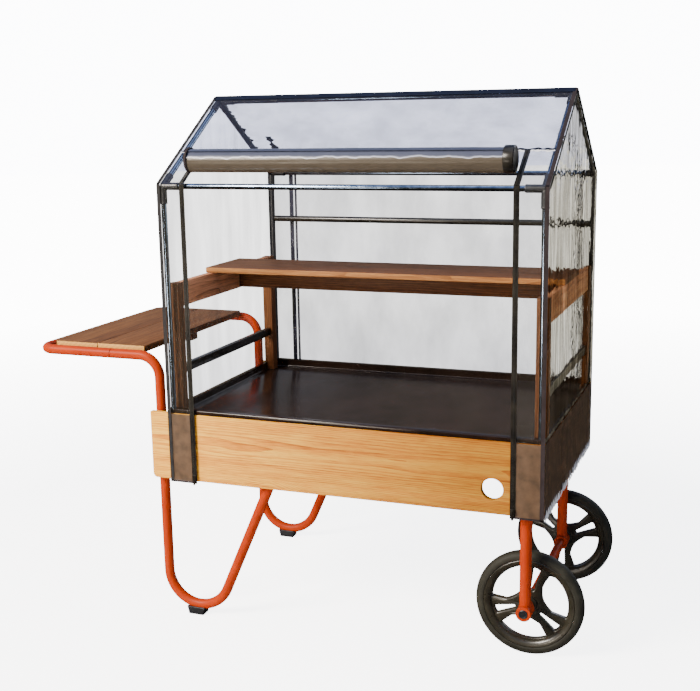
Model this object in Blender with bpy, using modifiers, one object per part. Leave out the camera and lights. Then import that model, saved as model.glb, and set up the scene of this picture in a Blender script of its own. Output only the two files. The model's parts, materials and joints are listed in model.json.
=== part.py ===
"""Garden trolley on the wheelbarrow principle: a bent-tube chassis with two wheels and two legs, a board
box with a shallow tray, a post-and-rail shelf frame, and a foil house on thin tubes with zipped flaps.

Frame: metres, +Z up, origin on the ground under the middle of the bounding box.
+X runs from the handle to the wheels, +Y from the open front to the back.
"""

import math

import bmesh
import bpy
from mathutils import Matrix, Vector

# Driving dimensions, in metres.
COVER_LEFT = -0.3715
COVER_LENGTH = 1.120
COVER_RIGHT = COVER_LEFT + COVER_LENGTH
HALF_DEPTH = 0.382
BOX_BOTTOM = 0.436
EAVE_HEIGHT = BOX_BOTTOM + 0.877
RIDGE_HEIGHT = BOX_BOTTOM + 1.123
GAP = 0.0004

# Chassis tubes.
TUBE_R = 0.015
TUBE_Y = 0.342
HANDLE_LEFT = -0.8315
HANDLE_HEIGHT = BOX_BOTTOM + 0.366
HANDLE_CORNER_R = 0.045
TUBE_SPLIT_X = COVER_LEFT - 0.207
LEG_X = COVER_LEFT - 0.045
SHOULDER_R = 0.065
LEG_BEND_R = 0.103
LEG_BEND_X = LEG_X + LEG_BEND_R
LEG_BEND_Z = 0.030 + LEG_BEND_R
STRUT_ANGLE = math.radians(24)
SPIGOT_R = 0.0125
SPIGOT_LENGTH = 0.040

# Wheels and axle.
WHEEL_R = 0.153
WHEEL_X = COVER_LEFT + 1.065
WHEEL_LEG_R = 0.016
SLEEVE_R = 0.021
SLEEVE_LENGTH = 0.050
LEG_Y = {"front": -0.341, "back": 0.213}
WHEEL_Y = {"front": -0.278, "back": 0.263}
SPOKE_TURN = {"front": math.radians(79), "back": math.radians(25)}
AXLE_TUBE_R = 0.014
AXLE_ROD_R = 0.008
PLUG_R = 0.0127
PLUG_DEPTH = 0.012
RIM_R = 0.84 * WHEEL_R
HUB_R = 0.16 * WHEEL_R
HUB_HALF = 0.021
WEB_HALF = 0.008
RIM_HALF = 0.017
TYRE_HALF = 0.020
SHOULDER_HALF = 0.016
TREAD_HALF = 0.008
COLLAR_R = 0.021
CAP_R = 0.016
HEAD_PLATE = (0.060, 0.046, 0.004)

# Box and tray.
BOARD = 0.018
END_BOARD = 0.0115
BOARD_HEIGHT = 0.204
BOARD_FACE = HALF_DEPTH - 0.006
FRONT_BOARD_LEFT = COVER_LEFT - 0.064
BOX_LEFT = COVER_LEFT - 0.004
BOX_RIGHT = COVER_RIGHT - 0.0025
BOARD_TOP = BOX_BOTTOM + BOARD_HEIGHT
DRAIN_X = COVER_LEFT + 0.978
DRAIN_Z = BOX_BOTTOM + 0.069
DRAIN_R = 0.030
RIM_HEIGHT = 0.013
TRAY_TOP = BOARD_TOP + GAP + RIM_HEIGHT
TRAY_FLOOR = TRAY_TOP - 0.024
TRAY_SHEET = 0.002
TRAY_WALL = END_BOARD + 0.0005 + TRAY_SHEET
BEARER = (0.044, 0.058)
BEARER_TOP = TRAY_FLOOR - TRAY_SHEET - GAP
STRUT_BEARER_X = COVER_LEFT + 0.362

# Boards on the handle.
SHELF_LEFT = COVER_LEFT - 0.432
SHELF_RIGHT = COVER_LEFT - 0.104
SHELF_TOP = HANDLE_HEIGHT + 0.024
SHELF_BOARD = 0.020
SHELF_BATTEN = (0.040, 0.022)

# Wooden shelf frame inside the house.
POST = 0.032
POST_X = (COVER_LEFT + 0.003, COVER_RIGHT - 0.003 - POST)
POST_Y = (-0.350, 0.292)
RAIL_TOP = BOX_BOTTOM + 0.588
RAIL_HEIGHT = 0.072
RAIL_THICK = 0.022
PLANK_Y = (-0.120, 0.114)
PLANK_THICK = 0.0165
BEAM_Y = 0.060
BAR_TOP = BOX_BOTTOM + 0.341
BAR = (0.014, 0.027)

# Foil house: tubes, connectors and foil.
FRAME_R = 0.008
FRAME_INSET = 0.0135
FRAME_BEND_R = 0.018
CONNECTOR_R = 0.011
CONNECTOR_ARM = 0.050
BACK_RAIL_Z = BOX_BOTTOM + 0.713
BACK_RAIL_R = 0.010
FOIL = 0.0012
STRIP_WIDTH = 0.080
WINDOW_RISE = 0.100
FOIL_HEM = BOX_BOTTOM - 0.004
ROLL_R = 0.032
ROLL_CAP_R = 0.036
ROLL_RISE = 0.069
ROLL_CAP_WIDTH = 0.028
ROLL_BAND_WIDTH = 0.018

ROOF_RUN = HALF_DEPTH
ROOF_RISE = RIDGE_HEIGHT - EAVE_HEIGHT
ROOF_ANGLE = math.atan2(ROOF_RISE, ROOF_RUN)
ROOF_SLANT = math.hypot(ROOF_RUN, ROOF_RISE)

# Zip sliders.
ZIP_X = {"left": COVER_LEFT + STRIP_WIDTH, "right": COVER_RIGHT - STRIP_WIDTH - 0.004}
SLIDER = (0.011, 0.005, 0.018)
SLIDER_Z = BOX_BOTTOM + 0.004
SLIDER_OFF = 0.0012

SEGMENTS = 40
FINE_BEVEL = 6
THIN_BEVEL = 4


def clear_scene():
    for obj in list(bpy.data.objects):
        bpy.data.objects.remove(obj, do_unlink=True)


def new_collection(name):
    group = bpy.data.collections.new(name)
    bpy.context.scene.collection.children.link(group)
    return group


def material(name, color, roughness, metallic=0.0):
    """A Principled material. The colour is linear RGB."""
    mat = bpy.data.materials.new(name)
    mat.use_nodes = True
    shader = mat.node_tree.nodes["Principled BSDF"]
    shader.inputs["Base Color"].default_value = (*color, 1.0)
    shader.inputs["Roughness"].default_value = roughness
    shader.inputs["Metallic"].default_value = metallic
    return mat


def keep(obj, name, finish):
    """Names an object, gives it its own copy of a finish, and files it with the parts."""
    obj.name = name
    obj.data.name = name
    mat = finish.copy()
    mat.name = f"{name}_finish"
    obj.data.materials.clear()
    obj.data.materials.append(mat)
    for group in list(obj.users_collection):
        group.objects.unlink(obj)
    PARTS.objects.link(obj)
    return obj


def object_from_bmesh(mesh, name):
    data = bpy.data.meshes.new(name)
    mesh.to_mesh(data)
    mesh.free()
    obj = bpy.data.objects.new(name, data)
    CUTTERS.objects.link(obj)
    return obj


def block(low, high, name="block"):
    """A box between two corners."""
    mesh = bmesh.new()
    size = [b - a for a, b in zip(low, high)]
    middle = [(a + b) / 2 for a, b in zip(low, high)]
    bmesh.ops.create_cube(mesh, size=1.0, matrix=Matrix.Translation(middle) @ Matrix.Diagonal((*size, 1.0)))
    return object_from_bmesh(mesh, name)


def rod(start, end, radius, sides=24, name="rod"):
    """A cylinder between two points."""
    start, end = Vector(start), Vector(end)
    mesh = bmesh.new()
    turn = (end - start).to_track_quat("Z", "Y").to_matrix().to_4x4()
    bmesh.ops.create_cone(
        mesh,
        cap_ends=True,
        segments=sides,
        radius1=radius,
        radius2=radius,
        depth=(end - start).length,
        matrix=Matrix.Translation((start + end) / 2) @ turn,
    )
    return object_from_bmesh(mesh, name)


def rounded_path(corners, radii, steps=6):
    """A polyline whose inner corners are replaced by arcs of the given radii."""
    corners = [Vector(c) for c in corners]
    points = [corners[0]]
    for before, corner, after, radius in zip(corners, corners[1:], corners[2:], radii):
        a = (before - corner).normalized()
        b = (after - corner).normalized()
        half = a.angle(b) / 2
        reach = radius / math.tan(half)
        centre = corner + (a + b).normalized() * radius / math.sin(half)
        first = corner + a * reach - centre
        sweep = math.pi - 2 * half
        forward = -a
        for i in range(steps + 1):
            angle = sweep * i / steps
            points.append(centre + first * math.cos(angle) + forward * radius * math.sin(angle))
    points.append(corners[-1])
    return points


def tube(points, radius, bevel=FINE_BEVEL, name="tube"):
    """A round bar along a polyline, as one closed mesh."""
    curve = bpy.data.curves.new(name, "CURVE")
    curve.dimensions = "3D"
    curve.bevel_depth = radius
    curve.bevel_resolution = bevel
    curve.use_fill_caps = True
    spline = curve.splines.new("POLY")
    spline.points.add(len(points) - 1)
    for knot, point in zip(spline.points, points):
        knot.co = (*point, 1.0)
    obj = bpy.data.objects.new(name, curve)
    CUTTERS.objects.link(obj)
    return made_mesh(obj)


def made_mesh(obj):
    """Turns a curve object into a mesh object with its caps welded."""
    name = obj.name
    bpy.context.view_layer.update()
    data = bpy.data.meshes.new_from_object(obj.evaluated_get(bpy.context.evaluated_depsgraph_get()))
    mesh = bmesh.new()
    mesh.from_mesh(data)
    bmesh.ops.remove_doubles(mesh, verts=mesh.verts, dist=1e-6)
    bmesh.ops.recalc_face_normals(mesh, faces=mesh.faces)
    mesh.to_mesh(data)
    mesh.free()
    solid = bpy.data.objects.new(name, data)
    solid.matrix_world = obj.matrix_world
    CUTTERS.objects.link(solid)
    bpy.data.objects.remove(obj, do_unlink=True)
    return solid


def plate(outline, thickness, matrix, name="plate"):
    """A flat outline (x, y) made a plate of the given thickness, centred on its plane, then placed."""
    curve = bpy.data.curves.new(name, "CURVE")
    curve.dimensions = "2D"
    curve.fill_mode = "BOTH"
    curve.extrude = thickness / 2
    spline = curve.splines.new("POLY")
    spline.points.add(len(outline) - 1)
    for knot, (x, y) in zip(spline.points, outline):
        knot.co = (x, y, 0.0, 1.0)
    spline.use_cyclic_u = True
    obj = bpy.data.objects.new(name, curve)
    obj.matrix_world = matrix
    CUTTERS.objects.link(obj)
    return made_mesh(obj)


def turned(profile, centre, closed=True, segments=SEGMENTS):
    """Revolves a profile (radius, along) about an axis through centre, parallel to Y.

    An open profile starts and ends on the axis.
    """
    mesh = bmesh.new()
    rows = [mesh.verts.new((radius, 0.0, along)) for radius, along in profile]
    for a, b in zip(rows, rows[1:]):
        mesh.edges.new((a, b))
    if closed:
        mesh.edges.new((rows[-1], rows[0]))
    obj = object_from_bmesh(mesh, "turned")
    screw = obj.modifiers.new("Turn", "SCREW")
    screw.steps = segments
    screw.render_steps = segments
    screw.use_merge_vertices = True
    screw.merge_threshold = 1e-5
    solid = made_mesh(obj)
    solid.data.transform(Matrix.Translation(centre) @ Matrix.Rotation(-math.pi / 2, 4, "X"))
    return solid


def combine(target, others, operation):
    """Applies a Boolean with each of the other solids, which are then removed."""
    for other in others:
        step = target.modifiers.new("Cut", "BOOLEAN")
        step.operation = operation
        step.solver = "EXACT"
        step.object = other
        bpy.context.view_layer.update()
        data = bpy.data.meshes.new_from_object(target.evaluated_get(bpy.context.evaluated_depsgraph_get()))
        target.modifiers.clear()
        target.data = tidied(data)
        bpy.data.objects.remove(other, do_unlink=True)
    return target


def tidied(data):
    """Welds the specks that a Boolean leaves along a cut and closes the slits between them."""
    mesh = bmesh.new()
    mesh.from_mesh(data)
    bmesh.ops.remove_doubles(mesh, verts=mesh.verts, dist=2e-6)
    bmesh.ops.dissolve_degenerate(mesh, edges=mesh.edges, dist=2e-6)
    slits = [edge for edge in mesh.edges if edge.is_boundary]
    bmesh.ops.holes_fill(mesh, edges=slits, sides=4)
    mesh.to_mesh(data)
    mesh.free()
    return data


def in_plane_y(y):
    """Places a flat outline drawn as (x, z) upright at a given y."""
    return Matrix.Translation((0, y, 0)) @ Matrix.Rotation(math.pi / 2, 4, "X")


def in_plane_x(x):
    """Places a flat outline drawn as (y, z) upright at a given x."""
    turn = Matrix(((0, 0, 1, 0), (1, 0, 0, 0), (0, 1, 0, 0), (0, 0, 0, 1)))
    return Matrix.Translation((x, 0, 0)) @ turn


# Chassis


def side_tube_path(y):
    """From the split on the handle, over the shoulder, down the leg, round its foot and up the strut."""
    lean = Vector((math.sin(STRUT_ANGLE), 0, math.cos(STRUT_ANGLE)))
    out = Vector((math.cos(STRUT_ANGLE), 0, -math.sin(STRUT_ANGLE)))
    centre = Vector((LEG_BEND_X, y, LEG_BEND_Z))
    foot_end = centre + out * LEG_BEND_R
    rise = (BEARER_TOP - BEARER[1] - 0.008 - foot_end.z) / lean.z
    path = rounded_path(
        [(TUBE_SPLIT_X, y, HANDLE_HEIGHT), (LEG_X, y, HANDLE_HEIGHT), (LEG_X, y, LEG_BEND_Z)], [SHOULDER_R]
    )
    turns = 12
    sweep = math.pi - STRUT_ANGLE
    for i in range(1, turns + 1):
        angle = math.pi + sweep * i / turns
        path.append(centre + LEG_BEND_R * Vector((math.cos(angle), 0, math.sin(angle))))
    path.append(foot_end + lean * rise)
    return path


def make_handle_loop():
    """The push bar: a flat U whose two ends plug into the side tubes."""
    corners = [
        (TUBE_SPLIT_X - GAP, -TUBE_Y, HANDLE_HEIGHT),
        (HANDLE_LEFT, -TUBE_Y, HANDLE_HEIGHT),
        (HANDLE_LEFT, TUBE_Y, HANDLE_HEIGHT),
        (TUBE_SPLIT_X - GAP, TUBE_Y, HANDLE_HEIGHT),
    ]
    loop = tube(rounded_path(corners, [HANDLE_CORNER_R] * 2, 8), TUBE_R)
    spigots = [
        rod(
            (TUBE_SPLIT_X - 0.010, side * TUBE_Y, HANDLE_HEIGHT),
            (TUBE_SPLIT_X + SPIGOT_LENGTH, side * TUBE_Y, HANDLE_HEIGHT),
            SPIGOT_R,
            16,
        )
        for side in (-1, 1)
    ]
    keep(combine(loop, spigots, "UNION"), "handle_loop", ORANGE)


def make_side_tube(name, y):
    body = tube(side_tube_path(y), TUBE_R)
    socket = rod(
        (TUBE_SPLIT_X - 0.010, y, HANDLE_HEIGHT),
        (TUBE_SPLIT_X + SPIGOT_LENGTH + 0.002, y, HANDLE_HEIGHT),
        SPIGOT_R + 0.0008,
        16,
    )
    keep(combine(body, [socket], "DIFFERENCE"), name, ORANGE)


def make_foot_pad(name, y):
    """A moulded pad clipped on the lowest stretch of the leg bend."""
    half_top, half_foot, width, height = 0.030, 0.024, 0.036, 0.024
    middle = LEG_BEND_X - 0.008
    outline = [
        (middle - half_foot, 0.0),
        (middle + half_foot, 0.0),
        (middle + half_top, height),
        (middle - half_top, height),
    ]
    pad = plate(outline, width, in_plane_y(y))
    groove = tube(side_tube_path(y)[7:], TUBE_R + 0.0005)
    keep(combine(pad, [groove], "DIFFERENCE"), name, BLACK_PLASTIC)


def make_wheel_leg(side):
    """A straight leg with a sleeve for the axle across its foot and a plate at its head."""
    y = LEG_Y[side]
    face, end = y - SLEEVE_LENGTH / 2, y + SLEEVE_LENGTH / 2
    head = BEARER_TOP - BEARER[1] - GAP
    leg = rod((WHEEL_X, y, WHEEL_R), (WHEEL_X, y, head - 0.002), WHEEL_LEG_R)
    sleeve = rod((WHEEL_X, face, WHEEL_R), (WHEEL_X, end, WHEEL_R), SLEEVE_R, 32)
    length, width, thick = HEAD_PLATE
    corner = (WHEEL_X - length / 2, y - WHEEL_LEG_R, head - thick)
    head_plate = block(corner, (WHEEL_X + length / 2, y - WHEEL_LEG_R + width, head))
    combine(leg, [sleeve, head_plate], "UNION")
    if side == "front":
        bores = [
            rod((WHEEL_X, face - 0.01, WHEEL_R), (WHEEL_X, end + 0.01, WHEEL_R), AXLE_ROD_R + GAP),
            rod((WHEEL_X, face - 0.01, WHEEL_R), (WHEEL_X, face + PLUG_DEPTH, WHEEL_R), PLUG_R + GAP),
        ]
    else:
        middle = y + 0.010
        bores = [
            rod((WHEEL_X, face - 0.01, WHEEL_R), (WHEEL_X, middle, WHEEL_R), AXLE_TUBE_R + GAP),
            rod((WHEEL_X, face - 0.01, WHEEL_R), (WHEEL_X, end + 0.01, WHEEL_R), AXLE_ROD_R + GAP),
        ]
    keep(combine(leg, bores, "DIFFERENCE"), f"wheel_leg_{side}", ORANGE)


def make_axle():
    """A tube between the legs, a rod through it, a plug in the front sleeve and a cap on the back end."""
    front_end = LEG_Y["front"] + SLEEVE_LENGTH / 2
    start, end = front_end + GAP, LEG_Y["back"] + 0.009
    middle = (start + end) / 2
    half = (end - start) / 2
    ring = [(AXLE_ROD_R + GAP, -half), (AXLE_TUBE_R, -half), (AXLE_TUBE_R, half), (AXLE_ROD_R + GAP, half)]
    keep(turned(ring, (WHEEL_X, middle, WHEEL_R), segments=24), "axle_tube", ORANGE)

    plug_face = LEG_Y["front"] - SLEEVE_LENGTH / 2 - 0.001
    plug_back = plug_face + PLUG_DEPTH
    cap_start = WHEEL_Y["back"] + HUB_HALF + 0.001
    rod_end = cap_start + 0.012
    keep(
        rod((WHEEL_X, plug_back + 0.002, WHEEL_R), (WHEEL_X, rod_end, WHEEL_R), AXLE_ROD_R),
        "axle_rod",
        STEEL,
    )
    plug = rod((WHEEL_X, plug_face, WHEEL_R), (WHEEL_X, plug_back, WHEEL_R), PLUG_R)
    keep(plug, "axle_plug", BLACK_PLASTIC)

    cap = [
        (0.0, 0.013),
        (AXLE_ROD_R + GAP, 0.013),
        (AXLE_ROD_R + GAP, 0.0),
        (CAP_R, 0.0),
        (CAP_R, 0.009),
        (CAP_R - 0.004, 0.016),
        (0.0, 0.018),
    ]
    keep(turned(cap, (WHEEL_X, cap_start, WHEEL_R), closed=False, segments=24), "axle_cap", BLACK_PLASTIC)

    collar = WHEEL_Y["front"] + HUB_HALF + 0.001
    keep(
        turned(
            [
                (AXLE_TUBE_R + GAP, 0.0),
                (COLLAR_R, 0.0),
                (COLLAR_R, PLUG_DEPTH),
                (AXLE_TUBE_R + GAP, PLUG_DEPTH),
            ],
            (WHEEL_X, collar, WHEEL_R),
            segments=32,
        ),
        "axle_collar",
        BLACK_PLASTIC,
    )


def leaf_outline(turn):
    """The large opening between two spoke pairs: a round outer edge, an inner edge that dips to the hub."""
    half, steps = math.radians(38), 10
    outer, inner = 0.69 * WHEEL_R, 0.26 * WHEEL_R
    angles = [half * (2 * i / steps - 1) for i in range(steps + 1)]
    points = [(outer * math.cos(a + turn), outer * math.sin(a + turn)) for a in angles]
    for a in reversed(angles):
        r = inner / math.cos(1.36 * a)
        points.append((r * math.cos(a + turn), r * math.sin(a + turn)))
    return points


def slot_outline(turn):
    """The narrow opening inside a spoke pair, a little wider towards the rim."""
    near, far = (0.25 * WHEEL_R, 0.035 * WHEEL_R), (0.65 * WHEEL_R, 0.062 * WHEEL_R)
    end = (far[0] * 1.03, 0.0)
    points = [(near[0], -near[1]), (far[0], -far[1]), end, (far[0], far[1]), (near[0], near[1])]
    c, s = math.cos(turn), math.sin(turn)
    return [(x * c - y * s, x * s + y * c) for x, y in points]


def make_wheel(side, bore):
    """A moulded wheel with three pairs of spokes, and its solid tyre. The origin is on the axle."""
    centre = Vector((WHEEL_X, WHEEL_Y[side], WHEEL_R))
    web_end, rim_inner = 0.72 * WHEEL_R, 0.76 * WHEEL_R
    profile = [
        (bore, -HUB_HALF),
        (HUB_R, -HUB_HALF),
        (HUB_R + 0.004, -WEB_HALF),
        (web_end, -WEB_HALF),
        (rim_inner, -RIM_HALF),
        (RIM_R - GAP, -RIM_HALF),
        (RIM_R - GAP, RIM_HALF),
        (rim_inner, RIM_HALF),
        (web_end, WEB_HALF),
        (HUB_R + 0.004, WEB_HALF),
        (HUB_R, HUB_HALF),
        (bore, HUB_HALF),
    ]
    wheel = turned(profile, centre)
    thick = 4 * HUB_HALF
    place = Matrix.Translation(centre) @ Matrix.Rotation(math.pi / 2, 4, "X")
    cuts = []
    for i in range(3):
        turn = SPOKE_TURN[side] + i * math.tau / 3
        cuts.append(plate(leaf_outline(turn + math.pi / 3), thick, place))
        cuts.append(plate(slot_outline(turn), thick, place))
    combine(wheel, cuts, "DIFFERENCE")
    wheel.data.transform(Matrix.Translation(-centre))
    wheel.location = centre
    keep(wheel, f"rim_{side}", BLACK_PLASTIC)

    tyre_profile = [
        (RIM_R, -SHOULDER_HALF),
        (RIM_R + 0.010, -TYRE_HALF),
        (WHEEL_R - 0.006, -SHOULDER_HALF),
        (WHEEL_R, -TREAD_HALF),
        (WHEEL_R, TREAD_HALF),
        (WHEEL_R - 0.006, SHOULDER_HALF),
        (RIM_R + 0.010, TYRE_HALF),
        (RIM_R, SHOULDER_HALF),
    ]
    tyre = turned(tyre_profile, centre, segments=48)
    tyre.data.transform(Matrix.Translation(-centre))
    tyre.location = centre
    keep(tyre, f"tyre_{side}", RUBBER)


# Box, tray and boards on the handle


def long_board_outline(radius=0.014, steps=4):
    """The long boards' outline (x, z), with both lower corners rounded."""
    left, right = FRONT_BOARD_LEFT, BOX_RIGHT
    points = [(right, BOARD_TOP), (left, BOARD_TOP)]
    for cx, start in ((left + radius, math.pi), (right - radius, 1.5 * math.pi)):
        for i in range(steps + 1):
            angle = start + math.pi / 2 * i / steps
            points.append((cx + radius * math.cos(angle), BOX_BOTTOM + radius + radius * math.sin(angle)))
    return points


def make_box():
    inner = BOARD_FACE - BOARD
    front = plate(long_board_outline(), BOARD, in_plane_y(-(inner + BOARD / 2)))
    drain = rod((DRAIN_X, -HALF_DEPTH, DRAIN_Z), (DRAIN_X, -inner + 0.01, DRAIN_Z), DRAIN_R, 32)
    keep(combine(front, [drain], "DIFFERENCE"), "front_board", LIGHT_WOOD)
    keep(plate(long_board_outline(), BOARD, in_plane_y(inner + BOARD / 2)), "back_board", LIGHT_WOOD)

    reach = inner - GAP
    for name, left in (("left_board", BOX_LEFT), ("right_board", BOX_RIGHT - END_BOARD)):
        keep(block((left, -reach, BOX_BOTTOM), (left + END_BOARD, reach, BOARD_TOP)), name, LIGHT_WOOD)
    for name, x in (("bearer_left", STRUT_BEARER_X), ("bearer_right", WHEEL_X)):
        half = BEARER[0] / 2
        low = (x - half, -reach, BEARER_TOP - BEARER[1])
        keep(block(low, (x + half, reach, BEARER_TOP)), name, RED_WOOD)


def make_tray():
    """A shallow plant tray: a rim that lies on the boards and a sunk floor between them."""
    rim_z = BOARD_TOP + GAP
    long_inset, end_inset = BOARD + 0.0005, END_BOARD + 0.0005
    tray = block((BOX_LEFT, -BOARD_FACE, rim_z), (BOX_RIGHT, BOARD_FACE, TRAY_TOP))
    well = block(
        (BOX_LEFT + end_inset, -BOARD_FACE + long_inset, TRAY_FLOOR - TRAY_SHEET),
        (BOX_RIGHT - end_inset, BOARD_FACE - long_inset, TRAY_TOP - 0.002),
    )
    long_inset += TRAY_SHEET
    hollow = block(
        (BOX_LEFT + TRAY_WALL, -BOARD_FACE + long_inset, TRAY_FLOOR),
        (BOX_RIGHT - TRAY_WALL, BOARD_FACE - long_inset, TRAY_TOP + 0.01),
    )
    combine(tray, [well], "UNION")
    keep(combine(tray, [hollow], "DIFFERENCE"), "tray", BLACK_GLOSS)


def make_handle_shelf():
    end = TUBE_Y - TUBE_R - 0.002
    middle = (SHELF_LEFT + SHELF_RIGHT) / 2
    under = SHELF_TOP - SHELF_BOARD
    inner = block((middle + 0.001, -end, under), (SHELF_RIGHT, end, SHELF_TOP))
    keep(inner, "handle_board_inner", SHELF_WOOD)
    edge = middle - 0.001
    corners = [(edge, -end, 0), (SHELF_LEFT, -end, 0), (SHELF_LEFT, end, 0), (edge, end, 0)]
    outline = [(p.x, p.y) for p in rounded_path(corners, [HANDLE_CORNER_R - TUBE_R] * 2, 5)]
    lift = Matrix.Translation((0, 0, under + SHELF_BOARD / 2))
    keep(plate(outline, SHELF_BOARD, lift), "handle_board_outer", SHELF_WOOD)
    width, depth = SHELF_BATTEN
    low = (SHELF_LEFT + 0.006, -width / 2, under - GAP - depth)
    keep(block(low, (SHELF_RIGHT - 0.006, width / 2, under - GAP)), "handle_board_batten", SHELF_WOOD)


# Shelf frame


def make_shelf_frame():
    for row, y in zip(("front", "back"), POST_Y):
        for column, x in zip(("left", "right"), POST_X):
            post = block((x, y, TRAY_TOP + GAP), (x + POST, y + POST, RAIL_TOP))
            foot_left = max(x, BOX_LEFT + TRAY_WALL + GAP)
            foot_right = min(x + POST, BOX_RIGHT - TRAY_WALL - GAP)
            foot = block((foot_left, y, TRAY_FLOOR + GAP), (foot_right, y + POST, TRAY_TOP + POST))
            keep(combine(post, [foot], "UNION"), f"shelf_post_{row}_{column}", RED_WOOD)
    start, end = POST_Y[0] + POST + GAP, POST_Y[1] - GAP
    for column, x in zip(("left", "right"), POST_X):
        mid = x + POST / 2
        half = RAIL_THICK / 2
        rail = block((mid - half, start, RAIL_TOP - RAIL_HEIGHT), (mid + half, end, RAIL_TOP))
        keep(rail, f"side_rail_{column}", RED_WOOD)
        half, drop = BAR[0] / 2, BAR[1]
        bar = block((mid - half, start, BAR_TOP - drop), (mid + half, end, BAR_TOP))
        keep(bar, f"lower_bar_{column}", BLACK_PAINT)
    left = POST_X[0] + POST / 2 + RAIL_THICK / 2 + GAP
    right = POST_X[1] + POST / 2 - RAIL_THICK / 2 - GAP
    beam = block((left, BEAM_Y, RAIL_TOP - 0.069), (right, BEAM_Y + 0.022, RAIL_TOP - GAP))
    keep(beam, "shelf_beam", RED_WOOD)
    plank_z = RAIL_TOP + GAP
    plank = block(
        (COVER_LEFT + 0.005, PLANK_Y[0], plank_z), (COVER_RIGHT - 0.005, PLANK_Y[1], plank_z + PLANK_THICK)
    )
    keep(plank, "shelf_plank", RED_WOOD)


# Foil house


def gable(inset, bottom):
    """The house's outline (y, z), set in, from the front foot over the ridge to the back foot."""
    wall = HALF_DEPTH - inset
    eave = EAVE_HEIGHT + math.tan(ROOF_ANGLE) * inset - inset / math.cos(ROOF_ANGLE)
    ridge = RIDGE_HEIGHT - inset / math.cos(ROOF_ANGLE)
    return [(-wall, bottom), (-wall, eave), (0.0, ridge), (wall, eave), (wall, bottom)]


def hoop_path(x):
    corners = [(x, y, z) for y, z in gable(FRAME_INSET, TRAY_TOP + GAP)]
    return rounded_path(corners, [FRAME_BEND_R] * 3, 4)


def arm_path(x, corner):
    """A short length of the hoop's route on both sides of one of its corners."""
    corners = [Vector((x, y, z)) for y, z in gable(FRAME_INSET, TRAY_TOP)]
    here = corners[corner]
    ends = [here + (corners[corner + step] - here).normalized() * CONNECTOR_ARM for step in (-1, 1)]
    return rounded_path([ends[0], here, ends[1]], [FRAME_BEND_R], 4)


def make_connector(name, x, corner, toward):
    """A three-way moulding: two arms along the hoop and one along the rail that meets it."""
    outline = gable(FRAME_INSET, TRAY_TOP)
    y, z = outline[corner]
    arm = (x + toward * CONNECTOR_ARM, y, z)
    body = tube(arm_path(x, corner), CONNECTOR_R, THIN_BEVEL)
    branch = tube([(x, y, z), arm], CONNECTOR_R, THIN_BEVEL)
    combine(body, [branch], "UNION")
    clear = FRAME_R + GAP
    hoop = tube(hoop_path(x), clear, THIN_BEVEL)
    rail = tube([(x + toward * FRAME_R * 0.5, y, z), (x + toward * 0.2, y, z)], clear, THIN_BEVEL)
    keep(combine(body, [hoop, rail], "DIFFERENCE"), name, BLACK_PLASTIC)


def make_house_frame():
    ends = {"left": COVER_LEFT + FRAME_INSET, "right": COVER_RIGHT - FRAME_INSET}
    for side, x in ends.items():
        keep(tube(hoop_path(x), FRAME_R, THIN_BEVEL), f"hoop_{side}", ZINC)
    outline = gable(FRAME_INSET, TRAY_TOP)
    back = FRAME_R + 0.001
    left, right = ends["left"] + back, ends["right"] - back
    for name, corner in (("eave_rail_front", 1), ("ridge_tube", 2), ("eave_rail_back", 3)):
        y, z = outline[corner]
        drop = 0.003 if corner == 2 else 0.0
        keep(tube([(left + drop, y, z), (right - drop, y, z)], FRAME_R, THIN_BEVEL), name, ZINC)
    y = outline[3][0]
    rail = tube([(left, y, BACK_RAIL_Z), (right, y, BACK_RAIL_Z)], BACK_RAIL_R, THIN_BEVEL)
    keep(rail, "back_rail", BLACK_PAINT)
    for side, toward in (("left", 1), ("right", -1)):
        make_connector(f"eave_joint_front_{side}", ends[side], 1, toward)
        make_connector(f"ridge_joint_{side}", ends[side], 2, toward)
        make_connector(f"eave_joint_back_{side}", ends[side], 3, toward)


def on_slope(side, rise, lift):
    """A point (y, z) on a roof slope: side -1 or 1, distance up from the eave, and height off the foil."""
    y = ROOF_RUN - rise * math.cos(ROOF_ANGLE) + lift * math.sin(ROOF_ANGLE)
    z = EAVE_HEIGHT + rise * math.sin(ROOF_ANGLE) + lift * math.cos(ROOF_ANGLE)
    return side * y, z


def slope_plate(side, outline):
    """A foil plate on a roof slope. The outline is (x, distance up from the eave)."""
    y, z = on_slope(side, 0.0, -FOIL / 2)
    tilt = ROOF_ANGLE if side < 0 else math.pi - ROOF_ANGLE
    return plate(outline, FOIL, Matrix.Translation((0, y, z)) @ Matrix.Rotation(tilt, 4, "X"))


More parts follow.
